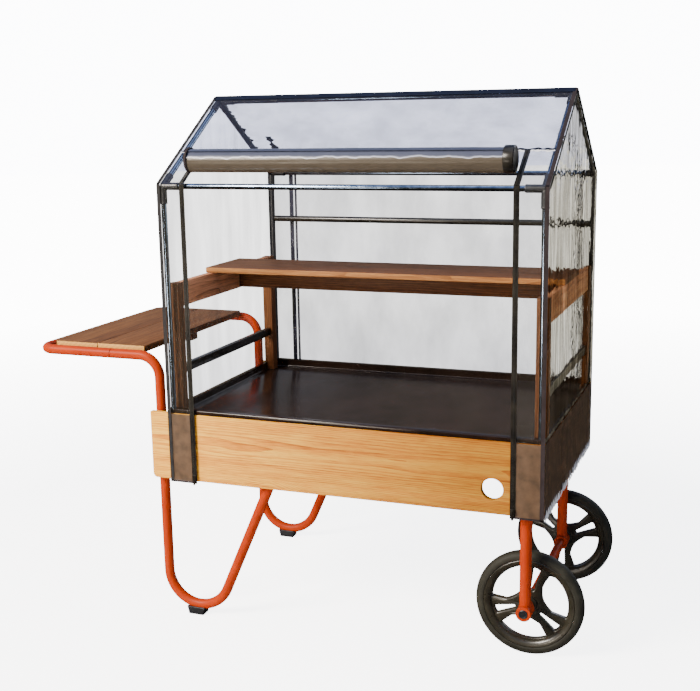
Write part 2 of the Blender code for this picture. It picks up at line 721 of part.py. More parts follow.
def make_foil():
    tight = 0.002
    left, right = COVER_LEFT + tight, COVER_RIGHT - tight
    top = ROOF_SLANT - 0.002
    window = (ZIP_X["left"], ZIP_X["right"])
    front = [
        (left, 0.002),
        (window[0], 0.002),
        (window[0], WINDOW_RISE),
        (window[1], WINDOW_RISE),
        (window[1], 0.002),
        (right, 0.002),
        (right, top),
        (left, top),
    ]
    keep(slope_plate(-1, front), "foil_roof_front", FOIL_FINISH)
    back = [(left, 0.002), (right, 0.002), (right, top), (left, top)]
    keep(slope_plate(1, back), "foil_roof_back", FOIL_FINISH)

    wall_top = EAVE_HEIGHT - 0.001
    face = HALF_DEPTH
    for side, low, high in (("left", left, window[0]), ("right", window[1], right)):
        strip = block((low, -face, FOIL_HEM), (high, -face + FOIL, wall_top))
        keep(strip, f"foil_strip_{side}", FOIL_FINISH)
    keep(block((left, face - FOIL, FOIL_HEM), (right, face, wall_top)), "foil_back", FOIL_FINISH)

    inset = FOIL + 0.0008
    for side, x, bottom in (
        ("left", COVER_LEFT + FOIL / 2, TRAY_TOP + 0.001),
        ("right", COVER_RIGHT - FOIL / 2, FOIL_HEM),
    ):
        keep(plate(gable(inset, bottom), FOIL, in_plane_x(x)), f"foil_end_{side}", FOIL_FINISH)


def make_rolled_flap():
    """The front flap, rolled up below the ridge: a roll with a band at one end, a cap at the other."""
    y, z = on_slope(-1, ROLL_RISE, ROLL_R + 0.001)
    start = ZIP_X["left"] + 0.004
    end = ZIP_X["right"] - 0.004
    band, cap = start + ROLL_BAND_WIDTH, end - ROLL_CAP_WIDTH
    steps = [
        (start, ROLL_CAP_R - 0.003),
        (band, ROLL_CAP_R - 0.003),
        (band, ROLL_R),
        (cap, ROLL_R),
        (cap, ROLL_CAP_R),
        (end, ROLL_CAP_R),
    ]
    profile = [(0.0, start)] + [(r, x) for x, r in steps] + [(0.0, end)]
    roll = turned(profile, (0, 0, 0), closed=False, segments=24)
    roll.data.transform(Matrix.Translation((0, y, z)) @ Matrix.Rotation(-math.pi / 2, 4, "Z"))
    keep(roll, "rolled_flap", FOIL_FINISH)


def make_sliders():
    """Four zip sliders, each a body with a short pull. The origin is on the slide's axis."""
    width, depth, height = SLIDER
    for row, face in (("front", -1), ("back", 1)):
        for column, x in ZIP_X.items():
            inner = HALF_DEPTH + SLIDER_OFF
            y = face * (inner + depth / 2)
            half = Vector((width / 2, depth / 2, 0))
            middle = Vector((x, y, SLIDER_Z))
            body = block(middle - half, middle + half + Vector((0, 0, height)))
            pull_half = Vector((width / 4, depth / 4, 0))
            rise, drop = Vector((0, 0, 0.004)), Vector((0, 0, 0.010))
            pull = block(middle - pull_half - drop, middle + pull_half + rise)
            combine(body, [pull], "UNION")
            body.data.transform(Matrix.Translation(-middle))
            body.location = middle
            keep(body, f"zip_slider_{row}_{column}", BLACK_PAINT)


clear_scene()
PARTS = new_collection("garden_trolley")
CUTTERS = new_collection("cutters")

ORANGE = material("orange_powder_coat", (0.80, 0.13, 0.015), 0.35)
BLACK_PLASTIC = material("black_moulded_plastic", (0.02, 0.02, 0.018), 0.4)
RUBBER = material("black_tyre", (0.018, 0.018, 0.018), 0.75)
STEEL = material("bright_steel", (0.6, 0.6, 0.6), 0.3, 1.0)
LIGHT_WOOD = material("light_oak", (0.70, 0.45, 0.20), 0.5)
SHELF_WOOD = material("brown_oak", (0.34, 0.20, 0.11), 0.5)
RED_WOOD = material("red_brown_hardwood", (0.20, 0.075, 0.04), 0.45)
BLACK_GLOSS = material("black_tray", (0.012, 0.010, 0.010), 0.15)
BLACK_PAINT = material("black_paint", (0.02, 0.018, 0.016), 0.35)
ZINC = material("bright_zinc", (0.62, 0.62, 0.60), 0.2, 1.0)
FOIL_FINISH = material("clear_foil", (0.75, 0.76, 0.82), 0.2)

make_handle_loop()
for side, y in (("front", -TUBE_Y), ("back", TUBE_Y)):
    make_side_tube(f"side_tube_{side}", y)
    make_foot_pad(f"foot_pad_{side}", y)
    make_wheel_leg(side)
make_axle()
make_wheel("front", AXLE_TUBE_R + GAP)
make_wheel("back", AXLE_ROD_R + GAP)
make_box()
make_tray()
make_handle_shelf()
make_shelf_frame()
make_house_frame()
make_foil()
make_rolled_flap()
make_sliders()

for leftover in list(CUTTERS.objects):
    bpy.data.objects.remove(leftover, do_unlink=True)
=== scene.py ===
"""Looks of the garden trolley: tube chassis, oak box, plant tray, shelf frame and zipped foil house."""

import json
import math

import bpy
from mathutils import Matrix, Vector, noise


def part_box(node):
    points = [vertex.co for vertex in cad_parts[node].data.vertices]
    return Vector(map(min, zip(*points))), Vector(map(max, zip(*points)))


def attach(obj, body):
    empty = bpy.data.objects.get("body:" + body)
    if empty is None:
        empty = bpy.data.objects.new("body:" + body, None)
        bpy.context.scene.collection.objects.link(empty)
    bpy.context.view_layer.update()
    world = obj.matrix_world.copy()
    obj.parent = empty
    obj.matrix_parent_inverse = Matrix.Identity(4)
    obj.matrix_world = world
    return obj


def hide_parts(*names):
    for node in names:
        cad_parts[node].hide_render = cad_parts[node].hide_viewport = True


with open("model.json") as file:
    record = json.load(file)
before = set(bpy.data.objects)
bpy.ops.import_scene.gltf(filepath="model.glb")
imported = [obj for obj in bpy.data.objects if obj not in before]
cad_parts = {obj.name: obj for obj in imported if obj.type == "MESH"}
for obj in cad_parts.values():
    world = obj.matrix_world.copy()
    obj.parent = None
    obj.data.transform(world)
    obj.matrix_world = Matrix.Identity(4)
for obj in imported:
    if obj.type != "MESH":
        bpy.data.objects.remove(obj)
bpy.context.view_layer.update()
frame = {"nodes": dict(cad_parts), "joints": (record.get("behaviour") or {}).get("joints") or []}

# Places read from the frame, in metres.
BOARD_LOW, BOARD_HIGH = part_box("front_board")
BACK_BOARD_LOW, BACK_BOARD_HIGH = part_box("back_board")
LEFT_END_LOW, LEFT_END_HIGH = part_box("left_board")
RIGHT_END_LOW, RIGHT_END_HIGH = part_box("right_board")
TRAY_LOW, TRAY_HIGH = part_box("tray")
HANDLE_LOW, HANDLE_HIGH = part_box("handle_loop")
END_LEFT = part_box("foil_end_left")[0].x
END_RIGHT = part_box("foil_end_right")[1].x
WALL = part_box("foil_back")[1].y
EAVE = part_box("foil_back")[1].z + 0.001
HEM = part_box("foil_back")[0].z
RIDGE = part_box("foil_roof_front")[1].z + 0.0011
ZIPS = {"left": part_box("foil_strip_left")[1].x, "right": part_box("foil_strip_right")[0].x}
HOOP_X = {side: sum((c.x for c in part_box(f"hoop_{side}"))) / 2 for side in ("left", "right")}
ROLL_LOW, ROLL_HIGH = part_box("rolled_flap")
# The cap stops just short of the zip beside it.
CAP_END = ROLL_HIGH.x - 0.007
RAIL_LOW, RAIL_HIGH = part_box("back_rail")
BEARER_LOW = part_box("bearer_left")[0].z

TUBE_R = 0.015
TUBE_Y = 0.342
GRIP_Z = (HANDLE_LOW.z + HANDLE_HIGH.z) / 2
GRIP_LEFT = HANDLE_LOW.x + TUBE_R
GRIP_CORNER_R = 0.045
SPLIT_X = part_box("side_tube_front")[0].x
LEG_X = -0.4165
SHOULDER_R = 0.065
LEG_BEND_R = 0.103
LEG_BEND = Vector((LEG_X + LEG_BEND_R, 0, 0.133))
STRUT_LEAN = math.radians(24)

WHEEL_R = 0.153
AXLE_X = frame["joints"][0]["pos_m"][0]
AXLE_Z = WHEEL_R
WHEEL_Y = {"front": frame["joints"][0]["pos_m"][1], "back": frame["joints"][1]["pos_m"][1]}
LEG_Y = {"front": -0.341, "back": 0.213}
SPOKE_TURN = {"front": math.radians(79), "back": math.radians(25)}

FRAME_R = 0.008
FRAME_INSET = 0.0135
SLOPE = math.atan2(RIDGE - EAVE, WALL)
SLANT = math.hypot(WALL, RIDGE - EAVE)
ROLL_RISE = 0.069
WINDOW_RISE = 0.100
FLAP_SEAM_RISE = 0.159
DRAIN = (0.6065, 0.505)
DRAIN_R = 0.030
CORNER_R = 0.014
TAPE_WIDTH = 0.011
TAPE_LIFT = 0.0012
ZIP_HALF = 0.0078
TOOTH_PITCH = 0.0040
THREAD_PITCH = 0.003
# Brightness of the studio to the eye, and through foil.
WHITE = 13.0
WHITE_BEHIND_FOIL = 3.2
AXES = {"x": Vector((1, 0, 0)), "y": Vector((0, 1, 0)), "z": Vector((0, 0, 1))}


# Working with objects


def deselect():
    if bpy.context.object and bpy.context.object.mode != "OBJECT":
        bpy.ops.object.mode_set(mode="OBJECT")
    bpy.ops.object.select_all(action="DESELECT")


def activate(obj):
    deselect()
    obj.select_set(True)
    bpy.context.view_layer.objects.active = obj


def editing(step, **settings):
    """Runs one step on the active mesh in edit mode."""
    bpy.ops.object.mode_set(mode="EDIT")
    step(**settings)
    bpy.ops.object.mode_set(mode="OBJECT")


def in_place(obj):
    """Moves an object's place into its mesh."""
    activate(obj)
    bpy.ops.object.transform_apply(location=True, rotation=True, scale=True)
    return obj


def worked(obj, kind, **settings):
    """Adds a modifier with its settings and applies it."""
    activate(obj)
    step = obj.modifiers.new(kind.title(), kind)
    for key, value in settings.items():
        setattr(step, key, value)
    bpy.ops.object.modifier_apply(modifier=step.name)
    return obj


def eased(obj, width, segments=2):
    """Rounds the sharp edges."""
    return worked(
        obj, "BEVEL", width=width, segments=segments, limit_method="ANGLE", angle_limit=math.radians(40)
    )


def sound(obj):
    """Merges doubled points and turns every face outwards."""
    activate(obj)
    editing(bpy.ops.mesh.select_all, action="SELECT")
    editing(bpy.ops.mesh.remove_doubles, threshold=0.000002)
    editing(bpy.ops.mesh.normals_make_consistent, inside=False)
    return obj


def block(low, high, ease=0.0, segments=2):
    deselect()
    low, high = Vector(low), Vector(high)
    bpy.ops.mesh.primitive_cube_add(size=1, location=(low + high) / 2)
    obj = bpy.context.object
    obj.scale = high - low
    in_place(obj)
    return eased(obj, ease, segments) if ease else obj


def rod(start, end, radius, sides=32, ease=0.0, far_radius=None):
    deselect()
    start, end = Vector(start), Vector(end)
    bpy.ops.mesh.primitive_cone_add(
        vertices=sides,
        radius1=radius,
        radius2=radius if far_radius is None else far_radius,
        depth=(end - start).length,
        location=(start + end) / 2,
        rotation=(end - start).to_track_quat("Z", "Y").to_euler(),
    )
    obj = in_place(bpy.context.object)
    return eased(obj, ease) if ease else obj


def curve_piece(lines, cyclic=False, flat=False, **settings):
    """A curve through each list of points, made a mesh."""
    deselect()
    curve = bpy.data.curves.new("line", "CURVE")
    curve.dimensions = "2D" if flat else "3D"
    curve.use_fill_caps = not flat
    for key, value in settings.items():
        setattr(curve, key, value)
    if flat:
        curve.fill_mode = "BOTH"
    for points in lines:
        spline = curve.splines.new("POLY")
        spline.points.add(len(points) - 1)
        for knot, point in zip(spline.points, points):
            knot.co = (*point, 0.0, 1.0) if flat else (*point, 1.0)
        spline.use_cyclic_u = cyclic
    obj = bpy.data.objects.new("line", curve)
    bpy.context.scene.collection.objects.link(obj)
    activate(obj)
    bpy.ops.object.convert(target="MESH")
    return sound(bpy.context.object)


def bent_tube(points, radius, sides=32):
    return curve_piece([points], bevel_depth=radius, bevel_resolution=sides // 4 - 1)


def cut_plate(outlines, thickness, place, ease=0.001, steps=2):
    """A plate with holes: flat outlines (u, v), the first the outside, with eased edges, then placed."""
    obj = curve_piece(
        outlines,
        cyclic=True,
        flat=True,
        extrude=thickness / 2 - ease,
        bevel_depth=ease,
        bevel_resolution=steps,
        offset=-ease,
    )
    obj.matrix_world = place
    return in_place(obj)


def turned(profile, centre, axis="y", steps=64, closed=True):
    """Spins a profile (radius, along) about an axis. An open profile starts and ends on the axis."""
    deselect()
    bpy.ops.mesh.primitive_circle_add(vertices=len(profile), radius=0.01)
    obj = bpy.context.object
    along, across = AXES[axis], AXES["x" if axis != "x" else "z"]
    centre = Vector(centre)
    for vertex, (radius, step) in zip(obj.data.vertices, profile):
        vertex.co = centre + across * radius + along * step
    if not closed:
        editing(bpy.ops.mesh.select_all, action="DESELECT")
        for edge in obj.data.edges:
            edge.select = set(edge.vertices) == {0, len(profile) - 1}
        editing(bpy.ops.mesh.delete, type="EDGE_FACE")
    editing(bpy.ops.mesh.select_all, action="SELECT")
    editing(bpy.ops.mesh.spin, steps=steps, angle=math.tau, center=centre, axis=along)
    obj.location = (0, 0, 0)
    return sound(in_place(obj))


def copied(obj, shift=(0, 0, 0)):
    """A copy with its own mesh, moved in its mesh."""
    twin = obj.copy()
    twin.data = obj.data.copy()
    bpy.context.scene.collection.objects.link(twin)
    twin.data.transform(Matrix.Translation(shift))
    return twin


def joined(first, *others):
    activate(first)
    for other in others:
        other.select_set(True)
    if others:
        bpy.ops.object.join()
    return first


def united(first, *others, operation="UNION"):
    """Joins solids into one skin, or cuts the others out."""
    for other in others:
        worked(first, "BOOLEAN", operation=operation, solver="EXACT", object=other)
        bpy.data.objects.remove(other, do_unlink=True)
    return sound(first)


def finished(obj, name, finish, slot, replaces=(), body="cart", smooth=35):
    """Names a piece, gives it its finish and its shading, and hangs it on its body."""
    obj.name = name
    obj.data.name = name
    obj.data.materials.clear()
    obj.data.materials.append(finish)
    activate(obj)
    bpy.ops.object.shade_smooth_by_angle(angle=math.radians(smooth))
    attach(obj, body)
    if replaces:
        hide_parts(*replaces)
    return obj


def second_finish(obj, finish, chosen):
    """Gives the faces that chosen(face) picks another finish."""
    obj.data.materials.append(finish)
    for face in obj.data.polygons:
        if chosen(face):
            face.material_index = len(obj.data.materials) - 1


def arc_path(corners, radii, steps=14):
    """A line whose inner corners are arcs."""
    corners = [Vector(c) for c in corners]
    points = [corners[0]]
    for before, corner, after, radius in zip(corners, corners[1:], corners[2:], radii):
        a, b = (before - corner).normalized(), (after - corner).normalized()
        half = a.angle(b) / 2
        centre = corner + (a + b).normalized() * radius / math.sin(half)
        first = corner + a * radius / math.tan(half) - centre
        sweep = math.pi - 2 * half
        for i in range(steps + 1):
            angle = sweep * i / steps
            points.append(centre + first * math.cos(angle) - a * radius * math.sin(angle))
    points.append(corners[-1])
    return points


def upright_y(y):
    """Places an outline drawn as (x, z) at a given y."""
    return Matrix.Translation((0, y, 0)) @ Matrix.Rotation(math.pi / 2, 4, "X")


def ring_outline(centre, radius, steps=48):
    return [
        (
            centre[0] + radius * math.cos(math.tau * i / steps),
            centre[1] + radius * math.sin(math.tau * i / steps),
        )
        for i in range(steps)
    ]


# Finishes


def colour(code):
    """An sRGB hex code as linear RGBA."""
    channels = [int(code[i : i + 2], 16) / 255 for i in (0, 2, 4)]
    return tuple(c / 12.92 if c <= 0.04045 else ((c + 0.055) / 1.055) ** 2.4 for c in channels) + (1.0,)


def add(tree, kind, inputs=None, **settings):
    """Adds a node. Inputs take numbers, colours or another node's output."""
    node = tree.nodes.new(kind)
    for key, value in settings.items():
        setattr(node, key, value)
    for key, value in (inputs or {}).items():
        socket = node.inputs[key]
        if isinstance(value, bpy.types.NodeSocket):
            tree.links.new(value, socket)
        else:
            socket.default_value = value
    return node


def new_finish(name, base, roughness, metallic=0.0, **more):
    """A Principled finish. Returns the material, its tree and its shader."""
    mat = bpy.data.materials.new(name)
    mat.use_nodes = True
    tree = mat.node_tree
    shader = tree.nodes["Principled BSDF"]
    shader.inputs["Base Color"].default_value = colour(base)
    shader.inputs["Roughness"].default_value = roughness
    shader.inputs["Metallic"].default_value = metallic
    for key, value in more.items():
        shader.inputs[key.replace("_", " ")].default_value = value
    return mat, tree, shader


def place_of(tree, scale=(1, 1, 1), centre=(0, 0, 0), turn=(0, 0, 0)):
    """Object coordinates, measured from a centre, turned and stretched."""
    coords = add(tree, "ShaderNodeTexCoord").outputs["Object"]
    moved = add(tree, "ShaderNodeMapping", {"Vector": coords, "Location": [-c for c in centre]})
    turned_to = add(
        tree, "ShaderNodeMapping", {"Vector": moved.outputs[0], "Rotation": turn, "Scale": scale}
    )
    return turned_to.outputs[0]


def ramp(source, stops):
    """A colour ramp from stops (place, hex)."""
    node = add(source.id_data, "ShaderNodeValToRGB", {"Fac": source})
    elements = node.color_ramp.elements
    while len(elements) < len(stops):
        elements.new(0.5)
    for mark, (place, code) in zip(elements, stops):
        mark.position = place
        mark.color = colour(code)
    return node.outputs["Color"]


def spread(source, low, high, start=0.0, end=1.0):
    """Maps a value between two ends to a range."""
    values = {"Value": source, "From Min": start, "From Max": end, "To Min": low, "To Max": high}
    return add(source.id_data, "ShaderNodeMapRange", values).outputs["Result"]


def noise_of(vector, scale, detail=3.0, rough=0.5):
    values = {"Vector": vector, "Scale": scale, "Detail": detail, "Roughness": rough}
    return add(vector.id_data, "ShaderNodeTexNoise", values).outputs["Fac"]


def maths(operation, a, b):
    return add(a.id_data, "ShaderNodeMath", {0: a, 1: b}, operation=operation).outputs[0]


def plus(a, b):
    return maths("ADD", a, b)


def times(a, b):
    return maths("MULTIPLY", a, b)


def relief(shader, height, distance, strength=1.0):
    values = {"Height": height, "Distance": distance, "Strength": strength}
    link(add(shader.id_data, "ShaderNodeBump", values).outputs["Normal"], shader, "Normal")


def link(output, shader, name):
    shader.id_data.links.new(output, shader.inputs[name])


def orange_powder_coat():
    """Baked polyester powder: a strong orange with the soft pebbling of a fused coat and a satin gloss."""
    mat, tree, shader = new_finish("orange_powder_coat", "A22F01", 0.42, Specular_IOR_Level=0.13)
    place = place_of(tree)
    cloud = noise_of(place, 14.0)
    link(ramp(cloud, [(0.3, "9C2C00"), (0.7, "A83301")]), shader, "Base Color")
    # A real coat pebbles at about 1 mm; it is drawn at 3 mm so that it shows.
    pebbles = noise_of(place, 330.0, 2.0)
    link(spread(noise_of(place, 60.0), 0.36, 0.5), shader, "Roughness")
    relief(shader, pebbles, 0.00025, 0.25)
    return mat


def moulded_nylon(name, base, light, roughness=0.34, texture=0.2):
    """Injection-moulded nylon: near black with a fine spark texture that spreads its highlights."""
    mat, tree, shader = new_finish(name, base, roughness, Specular_IOR_Level=0.6)
    place = place_of(tree)
    link(ramp(noise_of(place, 25.0), [(0.3, base), (0.75, light)]), shader, "Base Color")
    # Spark texture of about 0.5 mm is drawn at 2 mm.
    relief(shader, noise_of(place, 420.0, 2.0, 0.5), 0.0001, texture)
    link(spread(noise_of(place, 90.0), roughness - 0.06, roughness + 0.1), shader, "Roughness")
    return mat


def solid_rubber():
    """Cured rubber: matte olive black, dusty where it rolls."""
    mat, tree, shader = new_finish("solid_rubber", "25241C", 0.66, Specular_IOR_Level=0.25)
    place = place_of(tree)
    dust = noise_of(place, 18.0, 5.0, 0.65)
    link(ramp(dust, [(0.35, "1F1E17"), (0.6, "292820"), (0.8, "38362B")]), shader, "Base Color")
    link(spread(dust, 0.5, 0.78), shader, "Roughness")
    relief(shader, noise_of(place, 420.0, 4.0, 0.6), 0.0003, 0.4)
    return mat


def bright_steel():
    """Turned and zinc-plated steel: bright with fine turning lines."""
    mat, tree, shader = new_finish("zinc_plated_steel", "C9CACC", 0.24, 1.0)
    lines = noise_of(place_of(tree, (1, 60, 1)), 40.0)
    link(spread(lines, 0.18, 0.34), shader, "Roughness")
    return mat


def zinc_tube():
    """Drawn tube with a blue-passivated zinc coat: mirror-like and bluish, with dull spots."""
    mat, tree, shader = new_finish("bright_zinc_tube", "8FA2BE", 0.14, 1.0)
    spots = noise_of(place_of(tree), 35.0, 4.0, 0.6)
    link(ramp(spots, [(0.3, "5E7088"), (0.65, "93A6C2")]), shader, "Base Color")
    link(spread(spots, 0.10, 0.24), shader, "Roughness")
    return mat


def black_enamel(name="black_stove_enamel", base="15130F", coat=0.3, shine=0.5):
    """Stoved enamel on steel: black, half-gloss, with the slight waves of a dipped coat."""
    mat, tree, shader = new_finish(
        name, base, 0.3, Coat_Weight=coat, Coat_Roughness=0.12, Specular_IOR_Level=shine
    )
    place = place_of(tree)
    link(ramp(noise_of(place, 30.0), [(0.35, base), (0.75, "29261F")]), shader, "Base Color")
    relief(shader, noise_of(place, 160.0, 2.0), 0.0003, 0.3)
    return mat


def timber(name, along, stops, pith, ring=0.008, roughness=0.5, knot=None, sway=0.050, fade=None):
    """Sawn and oiled timber. Rings about a pith line give the sheet its cathedral figure and straight grain,
    long fibres give the streaks, and short dark pores give the open grain of oak or meranti."""
    mat, tree, shader = new_finish(name, stops[0][1], roughness, Specular_IOR_Level=0.12)
    turn = {"x": (0, 0, 0), "y": (0, 0, -math.pi / 2), "z": (0, math.pi / 2, 0)}[along]
    centred = place_of(tree, centre=pith, turn=turn)
    stretched = add(tree, "ShaderNodeMapping", {"Vector": centred, "Scale": (0.10, 1, 1)}).outputs[0]
    warp = noise_of(stretched, 11.0, 3.0)
    split = add(tree, "ShaderNodeSeparateXYZ", {"Vector": centred}).outputs
    radius = maths("SQRT", plus(maths("POWER", split[1], 2.0), maths("POWER", split[2], 2.0)), 0.0)
    # Growth rings wander by 15 to 30 mm over the length of a board.
    wander = times(warp, sway)
    reach = plus(radius, wander)
    if knot is not None:
        near = add(
            tree, "ShaderNodeVectorMath", {0: place_of(tree, centre=knot), 1: (0.35, 1, 1)},
            operation="MULTIPLY",
        )
        gap = add(tree, "ShaderNodeVectorMath", {0: near.outputs[0]}, operation="LENGTH").outputs["Value"]
        swell = spread(gap, 0.022, 0.0, 0.0, 0.040)
        reach = plus(reach, swell)
    turns = maths("DIVIDE", reach, ring)
    phase = maths("FRACT", turns, 0.0)
    fibres_place = add(tree, "ShaderNodeMapping", {"Vector": centred, "Scale": (0.035, 1, 1)}).outputs[0]
    # Fibres are a fraction of a millimetre wide; they are drawn 3 mm wide so that they show.
    fibres = noise_of(fibres_place, 330.0, 3.0, 0.65)
    broad = noise_of(fibres_place, 40.0, 3.0, 0.6)
    # Late wood darkens towards the end of each ring and stops short.
    late = maths("POWER", phase, 2.2)
    tone = plus(times(late, 0.24), times(broad, 0.55))
    tone = plus(tone, times(fibres, 0.75))
    base = ramp(spread(tone, 0.0, 1.0, 0.42, 1.10), stops)
    pores_place = add(tree, "ShaderNodeMapping", {"Vector": centred, "Scale": (0.05, 1, 1)}).outputs[0]
    pores = spread(noise_of(pores_place, 620.0, 1.0), 0.0, 0.4, 0.62, 0.75)
    dark = add(
        tree,
        "ShaderNodeMix",
        {"Factor": pores, 6: base, 7: colour(stops[-1][1])},
        data_type="RGBA",
    ).outputs[2]
    if fade is not None:
        # Painted shade: the board turns darker and greyer towards one end, where less light falls.
        painted_shade_share = spread(
            add(tree, "ShaderNodeSeparateXYZ", {"Vector": place_of(tree)}).outputs[0], 0.0, 1.0, *fade[:2]
        )
        dark = add(
            tree,
            "ShaderNodeMix",
            {"Factor": painted_shade_share, 6: dark, 7: colour(fade[2])},
            data_type="RGBA",
            blend_type="MULTIPLY",
        ).outputs[2]
    link(dark, shader, "Base Color")
    link(spread(fibres, roughness - 0.1, roughness + 0.12), shader, "Roughness")
    relief(shader, maths("SUBTRACT", fibres, pores), 0.0004, 0.5)
    return mat


def end_grain(name, pale, dark):
    """Sawn end grain: the ends of the fibres, pale where fresh, with fine pores and curved rings."""
    mat, tree, shader = new_finish(name, pale, 0.62)
    place = place_of(tree)
    rings = add(
        tree,
        "ShaderNodeTexWave",
        {"Vector": place, "Scale": 30.0, "Distortion": 3.0, "Detail": 2.0},
        wave_type="RINGS",
        rings_direction="Y",
    ).outputs["Fac"]
    tone = plus(times(rings, 0.15), times(noise_of(place, 400.0), 0.9))
    link(ramp(tone, [(0.25, dark), (0.7, pale)]), shader, "Base Color")
    relief(shader, tone, 0.0004, 0.5)
    return mat


def gloss_tray():
    """Vacuum-formed polystyrene sheet: black and glossy, with scuffs and a little dust in it, and a brown
    tint that is partly a painted reflection of plant pots.
    """
    mat, tree, shader = new_finish("vacuum_formed_black", "0E0907", 0.12, Specular_IOR_Level=0.4)
    place = place_of(tree)
    dust = noise_of(place, 9.0, 6.0, 0.7)
    # The brown ramp is dust and in part a painted reflection of plant pots.
    link(ramp(dust, [(0.35, "150C07"), (0.7, "271810"), (0.9, "3C2A1C")]), shader, "Base Color")
    link(spread(dust, 0.05, 0.30), shader, "Roughness")
    relief(shader, noise_of(place, 22.0, 2.0), 0.0012, 0.25)
    return mat


def clear_foil(name, base, veil, streak=(1, 1, 1), clouds=(0.6, 1.5), scale=7.0, shine=0.25):
    """Clear flexible vinyl: nearly clear, with a milky veil that thickens in soft clouds where it creases."""
    mat, tree, shader = new_finish(name, base, 0.16, Specular_IOR_Level=shine)
    place = place_of(tree, streak)
    cloud = noise_of(place, scale, 5.0, 0.55)
    link(spread(cloud, veil * clouds[0], veil * clouds[1], 0.3, 0.72), shader, "Alpha")
    link(spread(cloud, 0.08, 0.30), shader, "Roughness")
    relief(shader, noise_of(place, scale * 4, 3.0), 0.0015, 0.35)
    return mat


def rippled_foil():
    """Vinyl rippled by the sun: grey-beige, with upright waves that bend and streak what is behind it."""
    mat, tree, shader = new_finish("rippled_vinyl", "C8C4B4", 0.0, IOR=1.026, Transmission_Weight=1.0)
    upright = place_of(tree, (1, 2.0, 0.22))
    waves = noise_of(upright, 16.0, 3.0, 0.55)
    streaks = noise_of(place_of(tree, (1, 2.6, 0.14)), 24.0, 4.0, 0.65)
    link(ramp(streaks, [(0.34, "3C382A"), (0.5, "746E5A"), (0.66, "C2BBA2")]), shader, "Base Color")
    dents = noise_of(place_of(tree), 30.0, 2.0)
    relief(shader, plus(times(waves, 0.6), times(dents, 1.4)), 0.010)
    return mat


def hem_shade_foil():
    """Brown, half-clear vinyl of the lower hems with a fine embossed grain: its brown is painted shade over
    the boards behind it.
    """
    mat, tree, shader = new_finish("hem_vinyl_painted_shade", "5A4634", 0.35, Alpha=0.80)
    place = place_of(tree)
    link(ramp(noise_of(place, 40.0, 4.0), [(0.3, "4C3A2A"), (0.7, "68503A")]), shader, "Base Color")
    relief(shader, noise_of(place, 600.0, 2.0), 0.0002, 0.4)
    return mat


def woven_tape(name, base, light):
    """Woven binding tape: a fine plain weave. Its threads of about 0.4 mm are drawn 3 mm apart."""
    mat, tree, shader = new_finish(name, base, 0.7, Specular_IOR_Level=0.1)
    place = place_of(tree)
    waves = [
        add(
            tree,
            "ShaderNodeTexWave",
            {"Vector": place, "Scale": 0.314 / THREAD_PITCH, "Distortion": 0.6},
            bands_direction=axis,
        ).outputs["Fac"]
        for axis in ("X", "Z")
    ]
    weave = times(waves[0], waves[1])
    tone = plus(times(weave, 0.5), times(noise_of(place, 30.0), 0.6))
    link(ramp(tone, [(0.2, base), (0.8, light)]), shader, "Base Color")
    relief(shader, weave, 0.0004, 0.6)
    return mat


def rolled_foil():
    """Many layers of vinyl wound on a rod: the layers add up to a smoky grey that is glossy outside.
    A painted reflection makes the upper half bluish and the lower half brown, as of sky and ground, with a
    painted pale highlight along the wavy edge between them."""
    mat, tree, shader = new_finish("wound_vinyl", "4B473F", 0.3, Specular_IOR_Level=0.3)
    axis = ((ROLL_LOW.y + ROLL_HIGH.y) / 2, (ROLL_LOW.z + ROLL_HIGH.z) / 2)
    place = place_of(tree, centre=(0, axis[0], axis[1]))
    split = add(tree, "ShaderNodeSeparateXYZ", {"Vector": place}).outputs
    wave = noise_of(place_of(tree, (1, 0, 0)), 16.0, 2.0)
    edge = plus(split[2], spread(wave, -0.011, 0.011))
    side = spread(edge, 0.0, 1.0, -0.030, 0.034)
    # Painted reflection: brown below, bluish above, and a painted highlight band along the wavy edge.
    stops = [
        (0.05, "564D40"), (0.30, "463E33"), (0.555, "4D453A"), (0.575, "BFC4D0"), (0.60, "8C90A0"),
        (0.64, "4A4E5E"), (0.95, "3C4050"),
    ]
    link(ramp(side, stops), shader, "Base Color")
    lines = noise_of(place_of(tree, (0.6, 12, 12)), 18.0, 3.0)
    link(spread(lines, 0.2, 0.4), shader, "Roughness")
    relief(shader, lines, 0.001, 0.35)
    return mat


ORANGE = orange_powder_coat()
NYLON = moulded_nylon("black_nylon", "16171B", "24262C")
RIM_NYLON = moulded_nylon("olive_black_nylon", "211F17", "302D23", 0.28, 0.03)
RUBBER = solid_rubber()
STEEL = bright_steel()
ZINC = zinc_tube()
ENAMEL = black_enamel()
ZIP_BLACK = black_enamel("lacquered_zip", "12100E", 0.1, 0.2)
OAK_STOPS = [(0.0, "F4CC58"), (0.32, "EAAE40"), (0.58, "D88E30"), (0.82, "B46820"), (1.0, "7C4012")]
# The last entry darkens and greys the board towards its right end: painted shade.
OAK = timber(
    "oiled_oak", "x", OAK_STOPS, (0.0, BOARD_LOW.y + 0.085, 0.560), 0.0036, 0.5,
    (-0.055, BOARD_LOW.y, 0.462), 0.018, (-0.30, 0.55, "B8AA90"),
)
OAK_BACK = timber(
    "oiled_oak_back", "x", OAK_STOPS, (0.0, BACK_BOARD_HIGH.y - 0.085, 0.520), 0.0045, 0.5, sway=0.030
)
